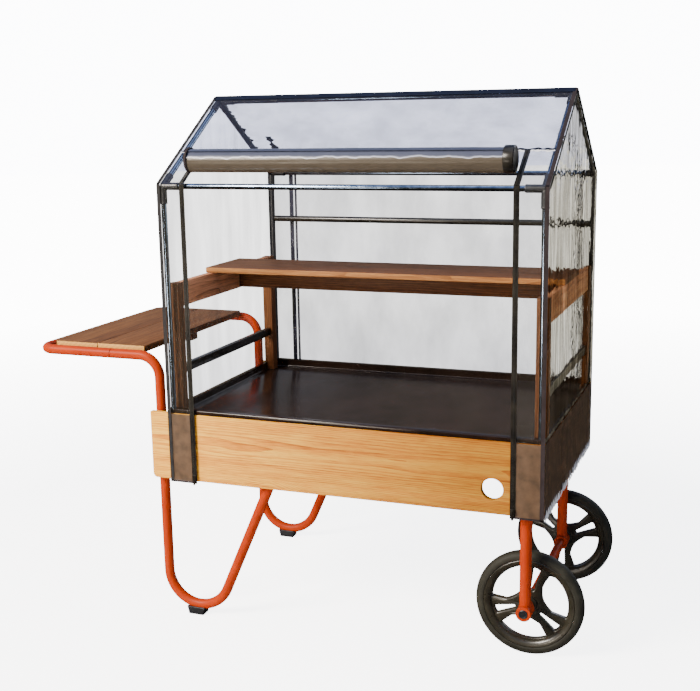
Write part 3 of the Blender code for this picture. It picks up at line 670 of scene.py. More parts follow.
# A much darker copy of the oak for the end boards: painted shade, as the ends lie out of the key light.
SHADED_OAK_ENDS = timber(
    "oiled_oak_ends_painted_shade", "y", [(0.0, "8E5C38"), (0.4, "744428"), (1.0, "3E2114")], (0.5, 0.0, 0.50), 0.009, 0.5
)
TABLE_OAK = timber(
    "brown_oak",
    "y",
    [(0.0, "805A32"), (0.35, "6E4828"), (0.65, "58381F"), (1.0, "342012")],
    (-0.66, 0.0, 0.74),
    0.006,
    0.5,
)
TABLE_ENDS = end_grain("oak_end_grain", "E0AA50", "AE7836")
RED_STOPS = [(0.0, "7A5030"), (0.35, "684024"), (0.65, "50301A"), (1.0, "2A160A")]
# A much brighter copy of the same meranti: painted light on the rails and bearers, whose seen faces lie in
# shade.
PAINTED_LIGHT_STOPS = [(0.0, "DCA880"), (0.35, "CC8E68"), (0.65, "AC7250"), (1.0, "66422C")]
RED_X = timber("meranti_long", "x", RED_STOPS, (0.2, 0.0, 0.90), 0.005, 0.42)
RED_Y = timber("meranti_cross_painted_light", "y", PAINTED_LIGHT_STOPS, (0.3, 0.0, 0.90), 0.006, 0.42)
RED_Z = timber("meranti_upright", "z", RED_STOPS, (0.2, 0.05, 0.80), 0.006, 0.42)
RED_TOP = timber(
    "meranti_planed_top",
    "x",
    [(0.0, "7C5434"), (0.35, "68442A"), (0.65, "50331E"), (1.0, "2C1A0E")],
    (0.2, 0.0, 0.90),
    0.005,
    0.42,
)
# A lighter copy of the meranti for the plank's front face: a painted highlight.
RED_PAINTED_HIGHLIGHT = timber(
    "meranti_painted_highlight_edge", "x", [(0.0, "B27E4A"), (0.5, "905F36"), (1.0, "5A3820")], (0.2, 0.2, 1.0), 0.005,
    0.4,
)
TRAY = gloss_tray()
ROOF_FOIL = clear_foil("clear_vinyl_roof", "3A3C4C", 0.16, clouds=(0.5, 1.5))
WALL_FOIL = clear_foil("clear_vinyl_wall", "4A4C60", 0.30, (1.2, 1.2, 0.6), (0.7, 1.3))
LEFT_FOIL = clear_foil("clear_vinyl_left_end", "8A897F", 0.08, (1, 1.8, 0.3), (0.0, 2.2), 12.0)
RIGHT_FOIL = rippled_foil()
STRIP_FOIL = clear_foil("clear_vinyl_strip", "4A4A42", 0.06, shine=0.1)
HEM_SHADE = hem_shade_foil()
# Near-white foil; on the right hem fringe its whiteness is a painted highlight.
FRINGE = clear_foil("clear_vinyl_offcut", "FFFFFF", 0.95, (1, 3, 3), (0.8, 1.1), 30.0)
BROWN_TAPE = woven_tape("brown_grey_binding", "221C1C", "3C3435")
GREY_TAPE = woven_tape("silver_grey_binding", "1E1D1E", "3A3939")
NAVY_TAPE = woven_tape("navy_binding", "0A0E1A", "182036")
OLIVE_TAPE = woven_tape("olive_binding", "15160F", "2A2C1E")
WOUND = rolled_foil()


# Chassis


def leg_path(y):
    """Over the shoulder, down the leg, round its foot and up the strut to the bearer."""
    lean = Vector((math.sin(STRUT_LEAN), 0, math.cos(STRUT_LEAN)))
    out = Vector((math.cos(STRUT_LEAN), 0, -math.sin(STRUT_LEAN)))
    centre = LEG_BEND + Vector((0, y, 0))
    foot_end = centre + out * LEG_BEND_R
    path = arc_path(
        [(SPLIT_X + 0.0005, y, GRIP_Z), (LEG_X, y, GRIP_Z), (LEG_X, y, LEG_BEND.z)], [SHOULDER_R], 18
    )
    turns, sweep = 40, math.pi - STRUT_LEAN
    for i in range(1, turns + 1):
        angle = math.pi + sweep * i / turns
        path.append(centre + LEG_BEND_R * Vector((math.cos(angle), 0, math.sin(angle))))
    path.append(foot_end + lean * (BEARER_LOW - 0.008 - foot_end.z) / lean.z)
    return path


def screw_head(centre, name, radius=0.0045):
    """A pan head with a cross recess, facing down."""
    profile = [(0.0, 0.0), (radius, 0.0), (radius, 0.0009), (radius * 0.72, 0.0021), (0.0, 0.0026)]
    head = turned(profile, (0, 0, 0), "z", 24, closed=False)
    wide, narrow = radius * 1.05, radius * 0.26
    cross = [
        block((-a / 2, -b / 2, 0.0012), (a / 2, b / 2, 0.004)) for a, b in ((wide, narrow), (narrow, wide))
    ]
    united(head, *cross, operation="DIFFERENCE")
    down = Vector((0, 0, -1)).to_track_quat("Z", "Y").to_matrix().to_4x4()
    head.matrix_world = Matrix.Translation(centre) @ down
    finished(in_place(head), name, STEEL, "steel")


def push_bar():
    corners = [
        (SPLIT_X - 0.0016, -TUBE_Y, GRIP_Z),
        (GRIP_LEFT, -TUBE_Y, GRIP_Z),
        (GRIP_LEFT, TUBE_Y, GRIP_Z),
        (SPLIT_X - 0.0016, TUBE_Y, GRIP_Z),
    ]
    bar = bent_tube(arc_path(corners, [GRIP_CORNER_R] * 2, 20), TUBE_R, 40)
    finished(bar, "push_bar", ORANGE, "orange_paint", ["handle_loop"])
    for side, tag in ((-1, "front"), (1, "back")):
        spigot = rod(
            (SPLIT_X - 0.010, side * TUBE_Y, GRIP_Z), (SPLIT_X + 0.010, side * TUBE_Y, GRIP_Z),
            TUBE_R - 0.0018, 40, 0.0005,
        )
        finished(spigot, f"push_bar_spigot_{tag}", ENAMEL, "steel")


def bent_legs():
    for side, y in (("front", -TUBE_Y), ("back", TUBE_Y)):
        path = leg_path(y)
        leg = bent_tube(path, TUBE_R, 40)
        top = path[-1]
        plate = block(
            (top.x - 0.030, y - 0.020, BEARER_LOW - 0.0045),
            (top.x + 0.030, y + 0.014, BEARER_LOW - 0.0005), 0.001,
        )
        finished(joined(leg, plate), f"bent_leg_{side}", ORANGE, "orange_paint", [f"side_tube_{side}"])
        for i, shift in enumerate((-0.021, 0.021)):
            spot = (top.x + shift, y - 0.003, BEARER_LOW - 0.0045)
            screw_head(spot, f"strut_screw_{side}_{i + 1}")


def feet():
    for side in ("front", "back"):
        low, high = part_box(f"foot_pad_{side}")
        y = (low.y + high.y) / 2
        outline = [(low.x + 0.006, low.z), (high.x - 0.006, low.z), (high.x, high.z), (low.x, high.z)]
        pad = cut_plate([outline], high.y - low.y, upright_y(y), 0.002, 3)
        groove = bent_tube(leg_path(y)[19:], TUBE_R + 0.0004, 32)
        united(pad, groove, operation="DIFFERENCE")
        finished(pad, f"foot_{side}", NYLON, "black_plastic", [f"foot_pad_{side}"])


def wheel_legs():
    """Each leg with its axle sleeve, a weld bead round the joint, and a bolted head plate."""
    for side in ("front", "back"):
        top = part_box(f"wheel_leg_{side}")[1].z
        y = LEG_Y[side]
        leg = rod((AXLE_X, y, AXLE_Z + 0.012), (AXLE_X, y, top - 0.002), 0.016, 40)
        near, far, step = (0.0132, 0.0146, -0.010) if side == "front" else (0.0146, 0.0086, 0.011)
        sleeve = mirrored([(near, 0.025), (0.0200, 0.025), (0.021, 0.024)])[:5]
        sleeve += [(far, 0.025), (far, step), (near, step)]
        barrel = turned(sleeve, (AXLE_X, y, AXLE_Z), "y", 48)
        bore = rod((AXLE_X, y - 0.022, AXLE_Z), (AXLE_X, y + 0.022, AXLE_Z), 0.019, 32)
        united(leg, bore, operation="DIFFERENCE")
        bead_line = []
        for i in range(37):
            angle = math.tau * i / 36
            across, along = 0.0162 * math.cos(angle), 0.0162 * math.sin(angle)
            bead_line.append((AXLE_X + across, y + along, AXLE_Z + math.sqrt(0.0213**2 - across**2)))
        bead = bent_tube(bead_line, 0.0016, 8)
        plate = block(
            (AXLE_X - 0.030, y - 0.016, top - 0.004), (AXLE_X + 0.030, y + 0.030, top), 0.0008
        )
        finished(
            joined(leg, barrel, bead, plate), f"axle_leg_{side}", ORANGE, "orange_paint",
            [f"wheel_leg_{side}"],
        )
        for i, shift in enumerate((-0.022, 0.022)):
            screw_head((AXLE_X + shift, y + 0.010, top - 0.004), f"axle_leg_screw_{side}_{i + 1}")


def axle():
    """The cross tube and the small turned parts at its ends. A profile runs from end a to end b."""
    for node, name, finish, slot, profile in (
        (
            "axle_tube", "cross_tube", ORANGE, "orange_paint",
            lambda a, b: [(0.0086, a), (0.0134, a), (0.014, a + 0.0006)]
            + [(0.014, b - 0.0006), (0.0134, b), (0.0086, b)],
        ),
        (
            "axle_plug", "axle_end_plug", NYLON, "black_plastic",
            lambda a, b: [(0.0, a + 0.0018), (0.0078, a + 0.0018), (0.0088, a + 0.0004), (0.0112, a)]
            + [(0.0124, a + 0.0010), (0.0127, b), (0.0, b)],
        ),
        (
            "axle_cap", "axle_push_cap", NYLON, "black_plastic",
            lambda a, b: [(0.0, a + 0.013), (0.0084, a + 0.013), (0.0084, a), (0.0152, a)]
            + [
                (0.016, a + 0.0008), (0.016, a + 0.008), (0.0146, a + 0.012), (0.0112, a + 0.0158),
                (0.006, a + 0.0176), (0.0, b),
            ],
        ),
        (
            "axle_collar", "axle_stop_collar", NYLON, "black_plastic",
            lambda a, b: [(0.0144, a), (0.0200, a), (0.021, a + 0.001)]
            + [(0.021, b - 0.001), (0.0200, b), (0.0144, b)],
        ),
    ):
        low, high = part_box(node)
        outline = profile(low.y, high.y)
        piece = turned(outline, (AXLE_X, 0, AXLE_Z), "y", 40, closed=outline[0][0] > 0.0)
        finished(piece, name, finish, slot, [node])


# Wheels


def leaf_outline(turn):
    """The large opening between two spoke pairs."""
    half, steps = math.radians(37.5), 22
    outer, inner = 0.70 * WHEEL_R, 0.27 * WHEEL_R
    angles = [half * (2 * i / steps - 1) for i in range(steps + 1)]
    points = [(outer * math.cos(a), outer * math.sin(a)) for a in angles]
    points += [
        (inner / math.cos(1.36 * a) * math.cos(a), inner / math.cos(1.36 * a) * math.sin(a))
        for a in reversed(angles)
    ]
    return rounded_outline(points, 0.006, turn)


def slot_outline(turn):
    """The narrow opening inside a spoke pair, wider towards the rim."""
    near, far = (0.27 * WHEEL_R, 0.030 * WHEEL_R), (0.665 * WHEEL_R, 0.072 * WHEEL_R)
    points = [
        (near[0], -near[1]), (0.48 * WHEEL_R, -0.052 * WHEEL_R), (far[0], -far[1]), (far[0] * 1.02, 0.0)
    ]
    points += [(far[0], far[1]), (0.48 * WHEEL_R, 0.052 * WHEEL_R), (near[0], near[1])]
    return rounded_outline(points, 0.0025, turn)


def rounded_outline(points, radius, turn):
    """Cuts the corners of a closed outline with short arcs, then turns it about the hub."""
    out = []
    count = len(points)
    for i, point in enumerate(points):
        here = Vector(point)
        back = Vector(points[i - 1]) - here
        ahead = Vector(points[(i + 1) % count]) - here
        if back.angle(ahead) > math.radians(150):
            out.append(here)
            continue
        a, b = back.normalized() * min(radius, back.length * 0.45), ahead.normalized() * min(
            radius, ahead.length * 0.45
        )
        for t in (0.0, 0.25, 0.5, 0.75, 1.0):
            out.append(here + a * (1 - t) ** 2 + b * t**2)
    c, s = math.cos(turn), math.sin(turn)
    return [(p.x * c - p.y * s, p.x * s + p.y * c) for p in out]


def mirrored(half, middle=()):
    """A profile from one half: first on the low side, then back on the high side."""
    return [(r, -y) for r, y in half] + list(middle) + half[::-1]


def wheel(side, bore):
    """A moulded wheel: barrel, three pairs of rounded spokes that flare into it, ribbed hub, solid tyre."""
    centre = Vector((AXLE_X, WHEEL_Y[side], AXLE_Z))
    turns = [SPOKE_TURN[side] + i * math.tau / 3 for i in range(3)]
    holes = [leaf_outline(t + math.pi / 3) for t in turns] + [slot_outline(t) for t in turns]
    web = cut_plate(
        [ring_outline((0, 0), 0.775 * WHEEL_R, 96)] + holes,
        0.019,
        Matrix.Translation(centre) @ Matrix.Rotation(math.pi / 2, 4, "X"),
        0.0055,
        4,
    )
    for vertex in web.data.vertices:
        # The spokes bow: they stand proud near the hub and sink towards the barrel.
        out = math.hypot(vertex.co.x - centre.x, vertex.co.z - centre.z) / WHEEL_R
        vertex.co.y += -0.0055 * math.cos(min(1.0, max(0.0, (out - 0.15) / 0.58)) * math.pi)
    reach = WHEEL_R
    barrel = turned(
        mirrored(
            [(0.715 * reach, 0.0055), (0.728 * reach, 0.0110), (0.768 * reach, 0.0155)]
            + [(0.800 * reach, 0.0170), (0.826 * reach, 0.0176), (0.838 * reach, 0.0166)]
        )
        + [(0.711 * reach, 0.0)],
        centre,
        "y",
        128,
    )
    hub = turned(
        mirrored(
            [(bore, 0.0205), (0.125 * reach, 0.0205), (0.150 * reach, 0.0190)]
            + [(0.160 * reach, 0.0165), (0.170 * reach, 0.0100)],
            [(0.185 * reach, 0.0)],
        ),
        centre,
        "y",
        64,
    )
    bored = rod(centre - Vector((0, 0.05, 0)), centre + Vector((0, 0.05, 0)), 0.12 * reach, 48)
    united(web, bored, operation="DIFFERENCE")
    ribs = []
    for turn in turns:
        rib = rod((0, 0, 0.150 * reach), (0, 0, 0.27 * reach), 0.0055, 16, far_radius=0.0035)
        about = Matrix.Rotation(math.pi / 6 - turn, 4, "Y")
        rib.matrix_world = Matrix.Translation(centre + Vector((0, -0.009, 0))) @ about
        ribs.append(in_place(rib))
    finished(
        joined(web, barrel, hub, *ribs), f"wheel_{side}_rim", RIM_NYLON, "black_plastic", [f"rim_{side}"],
        f"wheel_{side}",
    )

    angles = [math.radians(a) for a in range(-75, 76, 10)]
    half_round = [((0.890 + 0.110 * math.cos(a)) * reach, 0.0195 * math.sin(a)) for a in angles]
    lip = [
        (0.8405 * reach, 0.0150), (0.8425 * reach, 0.0180), (0.862 * reach, 0.0196), (0.885 * reach, 0.0199)
    ]
    profile = mirrored(lip, half_round)
    tyre = turned(profile, centre, "y", 128)
    grooves = []
    for offset in (-0.0085, 0.0085):
        low, high = offset - 0.0012, offset + 0.0012
        inner, outer = 0.9905 * reach, 1.02 * reach
        grooves.append(turned([(inner, low), (outer, low), (outer, high), (inner, high)], centre, "y", 128))
    united(tyre, *grooves, operation="DIFFERENCE")
    finished(tyre, f"wheel_{side}_tyre", RUBBER, "tyre", [f"tyre_{side}"], f"wheel_{side}")


# Box, tray and handle table


def long_boards():
    left, right = BOARD_LOW.x, BOARD_HIGH.x
    outline = [(right, BOARD_HIGH.z), (left, BOARD_HIGH.z)]
    for cx, start in ((left + CORNER_R, math.pi), (right - CORNER_R, 1.5 * math.pi)):
        for i in range(9):
            angle = start + math.pi / 2 * i / 8
            outline.append(
                (cx + CORNER_R * math.cos(angle), BOARD_LOW.z + CORNER_R + CORNER_R * math.sin(angle))
            )
    thick = BOARD_HIGH.y - BOARD_LOW.y
    front = cut_plate(
        [outline, ring_outline(DRAIN, DRAIN_R, 64)], thick, upright_y((BOARD_LOW.y + BOARD_HIGH.y) / 2),
        0.0015,
    )
    finished(front, "oak_front_board", OAK, "light_oak", ["front_board"])
    back = cut_plate([outline], thick, upright_y((BACK_BOARD_LOW.y + BACK_BOARD_HIGH.y) / 2), 0.0015)
    finished(back, "oak_back_board", OAK_BACK, "light_oak", ["back_board"])


def end_boards_and_bearers():
    for side, low, high in (
        ("left", LEFT_END_LOW, LEFT_END_HIGH), ("right", RIGHT_END_LOW, RIGHT_END_HIGH)
    ):
        finished(block(low, high, 0.001), f"oak_{side}_end_board", SHADED_OAK_ENDS, "light_oak", [f"{side}_board"])
    for side in ("left", "right"):
        low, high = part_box(f"bearer_{side}")
        finished(
            block(low, high, 0.002), f"meranti_bearer_{side}", RED_Y, "red_hardwood", [f"bearer_{side}"]
        )
    for y in (BOARD_HIGH.y + 0.009, BACK_BOARD_LOW.y - 0.009):
        for side in ("left", "right"):
            low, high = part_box(f"bearer_{side}")
            tag = "front" if y < 0 else "back"
            screw_head(((low.x + high.x) / 2, y, low.z), f"bearer_screw_{side}_{tag}")


def planting_tray():
    """A sheet formed over a mould: a flat rim with a turned-down lip and a sunk floor with soft corners."""
    sheet = 0.002
    wall_x = LEFT_END_HIGH.x + 0.0005
    wall_right = RIGHT_END_LOW.x - 0.0005
    wall_y = BOARD_HIGH.y + 0.0005
    rim_low = BOARD_HIGH.z + 0.0004

    def bowl(left, right, front, back, floor, top, radius):
        """A rounded box to cut or fill the well with."""
        outline = []
        for cx, cy, start in ((right, back, 0), (left, back, 1), (left, front, 2), (right, front, 3)):
            ox = -radius if cx == right else radius
            oy = -radius if cy == back else radius
            for i in range(7):
                angle = math.pi / 2 * (start + i / 6)
                outline.append((cx + ox + radius * math.cos(angle), cy + oy + radius * math.sin(angle)))
        return cut_plate(
            [outline], top - floor, Matrix.Translation((0, 0, (floor + top) / 2)), min(radius * 0.5, 0.004),
            3,
        )

    rim = block((TRAY_LOW.x, TRAY_LOW.y, rim_low), (TRAY_HIGH.x, TRAY_HIGH.y, TRAY_HIGH.z), 0.003, 3)
    well = bowl(wall_x, wall_right, wall_y, -wall_y, TRAY_LOW.z, TRAY_HIGH.z - 0.004, 0.012)
    hollow = bowl(
        wall_x + sheet, wall_right - sheet, wall_y + sheet, -wall_y - sheet, TRAY_LOW.z + sheet,
        TRAY_HIGH.z + 0.02, 0.010,
    )
    united(rim, well)
    united(rim, hollow, operation="DIFFERENCE")
    finished(rim, "planting_tray", TRAY, "tray_black", ["tray"], smooth=30)


def handle_table():
    """Two boards and a batten between the arms of the push bar, screwed from above."""
    low_in, high_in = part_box("handle_board_inner")
    inner = block(low_in, high_in, 0.0012)
    low_out, high_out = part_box("handle_board_outer")
    radius = GRIP_CORNER_R - TUBE_R
    corners = [
        (high_out.x, low_out.y, 0), (low_out.x, low_out.y, 0), (low_out.x, high_out.y, 0),
        (high_out.x, high_out.y, 0),
    ]
    outline = [(p.x, p.y) for p in arc_path(corners, [radius] * 2, 10)]
    outer = cut_plate(
        [outline], high_out.z - low_out.z, Matrix.Translation((0, 0, (low_out.z + high_out.z) / 2)), 0.0012
    )
    low_bat, high_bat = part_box("handle_board_batten")
    batten = block(low_bat, high_bat, 0.0015)
    for obj, name, node in (
        (inner, "table_board_inner", "handle_board_inner"),
        (outer, "table_board_outer", "handle_board_outer"),
    ):
        finished(obj, name, TABLE_OAK, "brown_oak", [node])
        second_finish(obj, TABLE_ENDS, lambda face: abs(face.normal.y) > 0.9)
    finished(batten, "table_batten", RED_X, "brown_oak", ["handle_board_batten"])
    for i, x in enumerate((low_out.x + 0.04, high_out.x - 0.04, low_in.x + 0.04, high_in.x - 0.04)):
        screw_head((x, 0.0, low_bat.z), f"table_screw_{i + 1}", 0.004)


# Shelf frame


def shelf_frame():
    for row in ("front", "back"):
        for column in ("left", "right"):
            node = f"shelf_post_{row}_{column}"
            low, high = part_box(node)
            post = block((low.x, low.y, TRAY_HIGH.z + 0.0004), (high.x, high.y, high.z), 0.0012)
            foot_low = max(low.x, LEFT_END_HIGH.x + 0.0031)
            foot_high = min(high.x, RIGHT_END_LOW.x - 0.0031)
            foot = block(
                (foot_low, low.y + 0.0002, low.z), (foot_high, high.y - 0.0002, TRAY_HIGH.z + 0.010)
            )
            finished(united(post, foot), f"post_{row}_{column}", RED_Z, "red_hardwood", [node])
    for column in ("left", "right"):
        low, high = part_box(f"side_rail_{column}")
        finished(block(low, high, 0.0015), f"rail_{column}", RED_Y, "red_hardwood", [f"side_rail_{column}"])
        low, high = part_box(f"lower_bar_{column}")
        finished(
            block(low, high, 0.0015, 3), f"bar_{column}", ENAMEL, "black_paint", [f"lower_bar_{column}"]
        )
    low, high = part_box("shelf_beam")
    finished(block(low, high, 0.0015), "beam", RED_X, "red_hardwood", ["shelf_beam"])
    low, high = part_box("shelf_plank")
    plank = finished(block(low, high, 0.002, 3), "plank", RED_X, "red_hardwood", ["shelf_plank"])
    second_finish(plank, RED_TOP, lambda face: face.normal.z > 0.6)
    # The front face gets the lighter copy: a painted highlight.
    second_finish(plank, RED_PAINTED_HIGHLIGHT, lambda face: face.normal.y < -0.6)


# House frame


def gable(inset, bottom):
    """The outline (y, z) of the house, set in, from the front foot over the ridge to the back foot."""
    wall = WALL - inset
    eave = EAVE + math.tan(SLOPE) * inset - inset / math.cos(SLOPE)
    ridge = RIDGE - inset / math.cos(SLOPE)
    return [(-wall, bottom), (-wall, eave), (0.0, ridge), (wall, eave), (wall, bottom)]


def house_tubes():
    bottom = TRAY_HIGH.z + 0.0004
    for side, x in HOOP_X.items():
        path = arc_path([(x, y, z) for y, z in gable(FRAME_INSET, bottom)], [0.018] * 3, 10)
        finished(bent_tube(path, FRAME_R, 32), f"zinc_hoop_{side}", ZINC, "zinc_tube", [f"hoop_{side}"])
    for name, node in (
        ("zinc_eave_front", "eave_rail_front"), ("zinc_ridge", "ridge_tube"),
        ("zinc_eave_back", "eave_rail_back"),
    ):
        low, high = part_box(node)
        y, z = (low.y + high.y) / 2, (low.z + high.z) / 2
        finished(rod((low.x, y, z), (high.x, y, z), FRAME_R, 32, 0.0006), name, ZINC, "zinc_tube", [node])
    y, z = (RAIL_LOW.y + RAIL_HIGH.y) / 2, (RAIL_LOW.z + RAIL_HIGH.z) / 2
    rail = rod((RAIL_LOW.x, y, z), (RAIL_HIGH.x, y, z), 0.010, 32, 0.0008)
    finished(rail, "enamelled_back_rail", ENAMEL, "black_paint", ["back_rail"])


def corner_joints():
    """Three-way nylon sockets with a stiffening ring at the mouth of each arm."""
    outline = gable(FRAME_INSET, TRAY_HIGH.z)
    for side, toward in (("left", 1), ("right", -1)):
        x = HOOP_X[side]
        corners = [Vector((x, y, z)) for y, z in outline]
        for place, corner in (("front", 1), ("ridge", 2), ("back", 3)):
            here = corners[corner]
            arms = [(corners[corner + step] - here).normalized() for step in (-1, 1)]
            ends = [here + arm * 0.050 for arm in arms] + [here + Vector((toward * 0.050, 0, 0))]
            body = bent_tube(arc_path([ends[0], here, ends[1]], [0.018], 10), 0.0108, 32)
            branch = rod(here, ends[2], 0.0108, 32)
            mouths = []
            for end, arm in zip(ends, arms + [Vector((toward, 0, 0))]):
                mouths.append(rod(end - arm * 0.0045, end, 0.0110, 32, 0.0005))
            node = f"eave_joint_{place}_{side}" if place != "ridge" else f"ridge_joint_{side}"
            piece = united(body, branch, *mouths)
            clear = bent_tube(arc_path(corners, [0.018] * 3, 10), FRAME_R + 0.0003, 32)
            far = here + Vector((toward * 0.2, 0, 0))
            clear_branch = rod(here + Vector((toward * 0.004, 0, 0)), far, FRAME_R + 0.0003, 32)
            united(piece, clear, clear_branch, operation="DIFFERENCE")
            finished(piece, f"socket_{place}_{side}", NYLON, "black_plastic", [node])


# Foil house


def on_slope(side, rise, lift=0.0):
    """A point (y, z) on a roof slope: side -1 is the front, rise is measured up from the eave."""
    y = WALL - rise * math.cos(SLOPE) + lift * math.sin(SLOPE)
    return side * y, EAVE + rise * math.sin(SLOPE) + lift * math.cos(SLOPE)


def marks(start, end, step, *fixed):
    """Grid lines from start to end about a step apart, with a line on each fixed mark."""
    stops = sorted({start, end, *fixed})
    lines = [start]
    for a, b in zip(stops, stops[1:]):
        count = max(1, round((b - a) / step))
        lines += [a + (b - a) * i / count for i in range(1, count + 1)]
    return lines


def foil_sheet(
    name, across, up, place, finish, replaces=(), skip=None, thick=0.0005
):
    """A sheet on a grid of lines. place(u, v) gives a point, and skip(u, v) says where it is cut away."""
    deselect()
    bpy.ops.mesh.primitive_grid_add(x_subdivisions=len(across) - 1, y_subdivisions=len(up) - 1, size=1)
    obj = bpy.context.object
    mesh = obj.data
    width = len(across)
    for vertex in mesh.vertices:
        vertex.co = place(across[vertex.index % width], up[vertex.index // width])
    if skip is not None:
        editing(bpy.ops.mesh.select_all, action="DESELECT")
        columns = width - 1
        for face in mesh.polygons:
            i, j = face.index % columns, face.index // columns
            face.select = skip((across[i] + across[i + 1]) / 2, (up[j] + up[j + 1]) / 2)
        editing(bpy.ops.mesh.delete, type="FACE")
    if thick:
        worked(obj, "SOLIDIFY", thickness=thick, offset=-1.0)
    finished(obj, name, finish, "clear_foil", replaces, smooth=60)
    return obj


def ripple(a, b, scale_a, scale_b, height, seed):
    """A smooth wave in the foil, the same on every run."""
    return height * noise.noise(Vector((a * scale_a, b * scale_b, seed)))


def pinned(value, low, high, width=0.03):
    """Falls to 0 at both ends of a range, where the foil is held."""
    return min(1.0, max(0.0, (value - low) / width)) * min(1.0, max(0.0, (high - value) / width))


def roof():
    top = SLANT - 0.001
    left, right = END_LEFT + 0.001, END_RIGHT - 0.001

    def place(side, seed):
        def at(x, rise):
            hold = pinned(x, left, right) * pinned(rise, 0.0, SLANT)
            lift = hold * (ripple(x, rise, 7, 9, 0.0022, seed) + ripple(x, rise, 24, 20, 0.0007, seed + 5))
            y, z = on_slope(side, rise, lift)
            return (x, y, z)

        return at

    across = marks(left, right, 0.012, ZIPS["left"], ZIPS["right"])
    up = marks(0.0015, top, 0.012, WINDOW_RISE)

    def in_window(x, rise):
        return ZIPS["left"] < x < ZIPS["right"] and rise < WINDOW_RISE

    foil_sheet(
        "roof_foil_front", across, up, place(-1, 1.0), ROOF_FOIL,
        ["foil_roof_front"], in_window,
    )
    across.reverse()
    foil_sheet(
        "roof_foil_back", across, up, place(1, 4.0), ROOF_FOIL,
        ["foil_roof_back"],
    )


def walls():
    left, right = END_LEFT + 0.001, END_RIGHT - 0.001
    clear_low = BOARD_HIGH.z

    def back_at(x, z):
        hold = pinned(x, left, right) * pinned(z, HEM, EAVE)
        push = hold * (ripple(x, z, 14, 2.5, 0.0028, 8.0) + ripple(x, z, 45, 8, 0.0008, 9.0))
        return (x, WALL - 0.0003 + min(push, 0.004), z)

    across = marks(left, right, 0.010)
    across.reverse()
    foil_sheet(
        "back_foil", across, marks(HEM, EAVE - 0.001, 0.020), back_at, WALL_FOIL,
        ["foil_back"],
    )

    for side, low, high in (("left", left, ZIPS["left"]), ("right", ZIPS["right"], right)):

        def strip_at(x, z):
            push = pinned(x, low, high, 0.015) * ripple(x, z, 22, 5, 0.0012, 12.0)
            return (x, -WALL + 0.0003 + max(push, -0.003), z)

        across, wide = marks(low, high, 0.008), high - low
        name, node, up = f"strip_foil_{side}", f"foil_strip_{side}", marks(clear_low, EAVE - 0.001, 0.020)
        foil_sheet(name, across, up, strip_at, STRIP_FOIL, [node])
        up = marks(HEM, clear_low, 0.012)
        # The brown hem sheet in front of the board is painted shade.
        foil_sheet(f"strip_hem_{side}", across, up, strip_at, HEM_SHADE)


def ends():
    outline = gable(0.002, 0.0)
    eave_z, ridge_z, wall = outline[1][1], outline[2][1], outline[3][0]

    def end_foil(name, node, x, face, bottom, finish, height, seed, part=None):
        def top_of(y):
            return ridge_z - (ridge_z - eave_z) * abs(y) / wall

        def at(y, share):
            top = top_of(y) if part is None else part
            z = bottom + (top - bottom) * share
            hold = pinned(y, -wall, wall, 0.04) * pinned(z, bottom - 0.02, top_of(y), 0.04)
            push = hold * (
                ripple(y, z, 24, 3.0, height, seed) + ripple(y, z, 70, 9, height * 0.35, seed + 3)
            )
            return (x + face * min(push, 0.006), y, z)

        across = marks(-wall, wall, 0.008, 0.0)
        if face < 0:
            across.reverse()
        shares = [i / 60 for i in range(61)]
        return foil_sheet(
            name, across, shares, at, finish,
            node,
            thick=0.0005 if finish is not RIGHT_FOIL else 0.0,
        )

    low = BOARD_HIGH.z
    end_foil("left_end_foil", ["foil_end_left"], END_LEFT, -1, TRAY_HIGH.z + 0.001, LEFT_FOIL, 0.0022, 20.0)
    end_foil("right_end_foil", ["foil_end_right"], END_RIGHT, 1, low, RIGHT_FOIL, 0.0050, 30.0)
    # The brown hem sheet over the right end board is painted shade.
    end_foil("right_end_hem", [], END_RIGHT, 1, HEM, HEM_SHADE, 0.0040, 30.0, low)


def tape(name, points, width, normal, finish, crinkle=0.0):
    """A flat binding along a line, lying across a given normal. A crinkle makes its edges wander."""
    parts = []
    normal = Vector(normal).normalized()
    for start, end in zip(points, points[1:]):
        start, end = Vector(start), Vector(end)
        run = (end - start).normalized()
        across = run.cross(normal).normalized()
        deselect()
        cuts = int((end - start).length / 0.005) if crinkle else 1
        bpy.ops.mesh.primitive_grid_add(x_subdivisions=2, y_subdivisions=cuts, size=1)
        strip = bpy.context.object
        for vertex in strip.data.vertices:
            along = (vertex.co.y + 0.5) * (end - start).length
            wander = crinkle * noise.noise(Vector((along * 70, vertex.co.x * 2, start.y * 7)))
            vertex.co = start + run * along + across * (vertex.co.x * width + wander)
        worked(strip, "SOLIDIFY", thickness=0.0009, offset=0.0)
        parts.append(sound(strip))
    return finished(joined(*parts), name, finish, "clear_foil")


def slope_face(side):
    """The direction that a roof slope faces."""
    return (0, side * math.sin(SLOPE), math.cos(SLOPE))


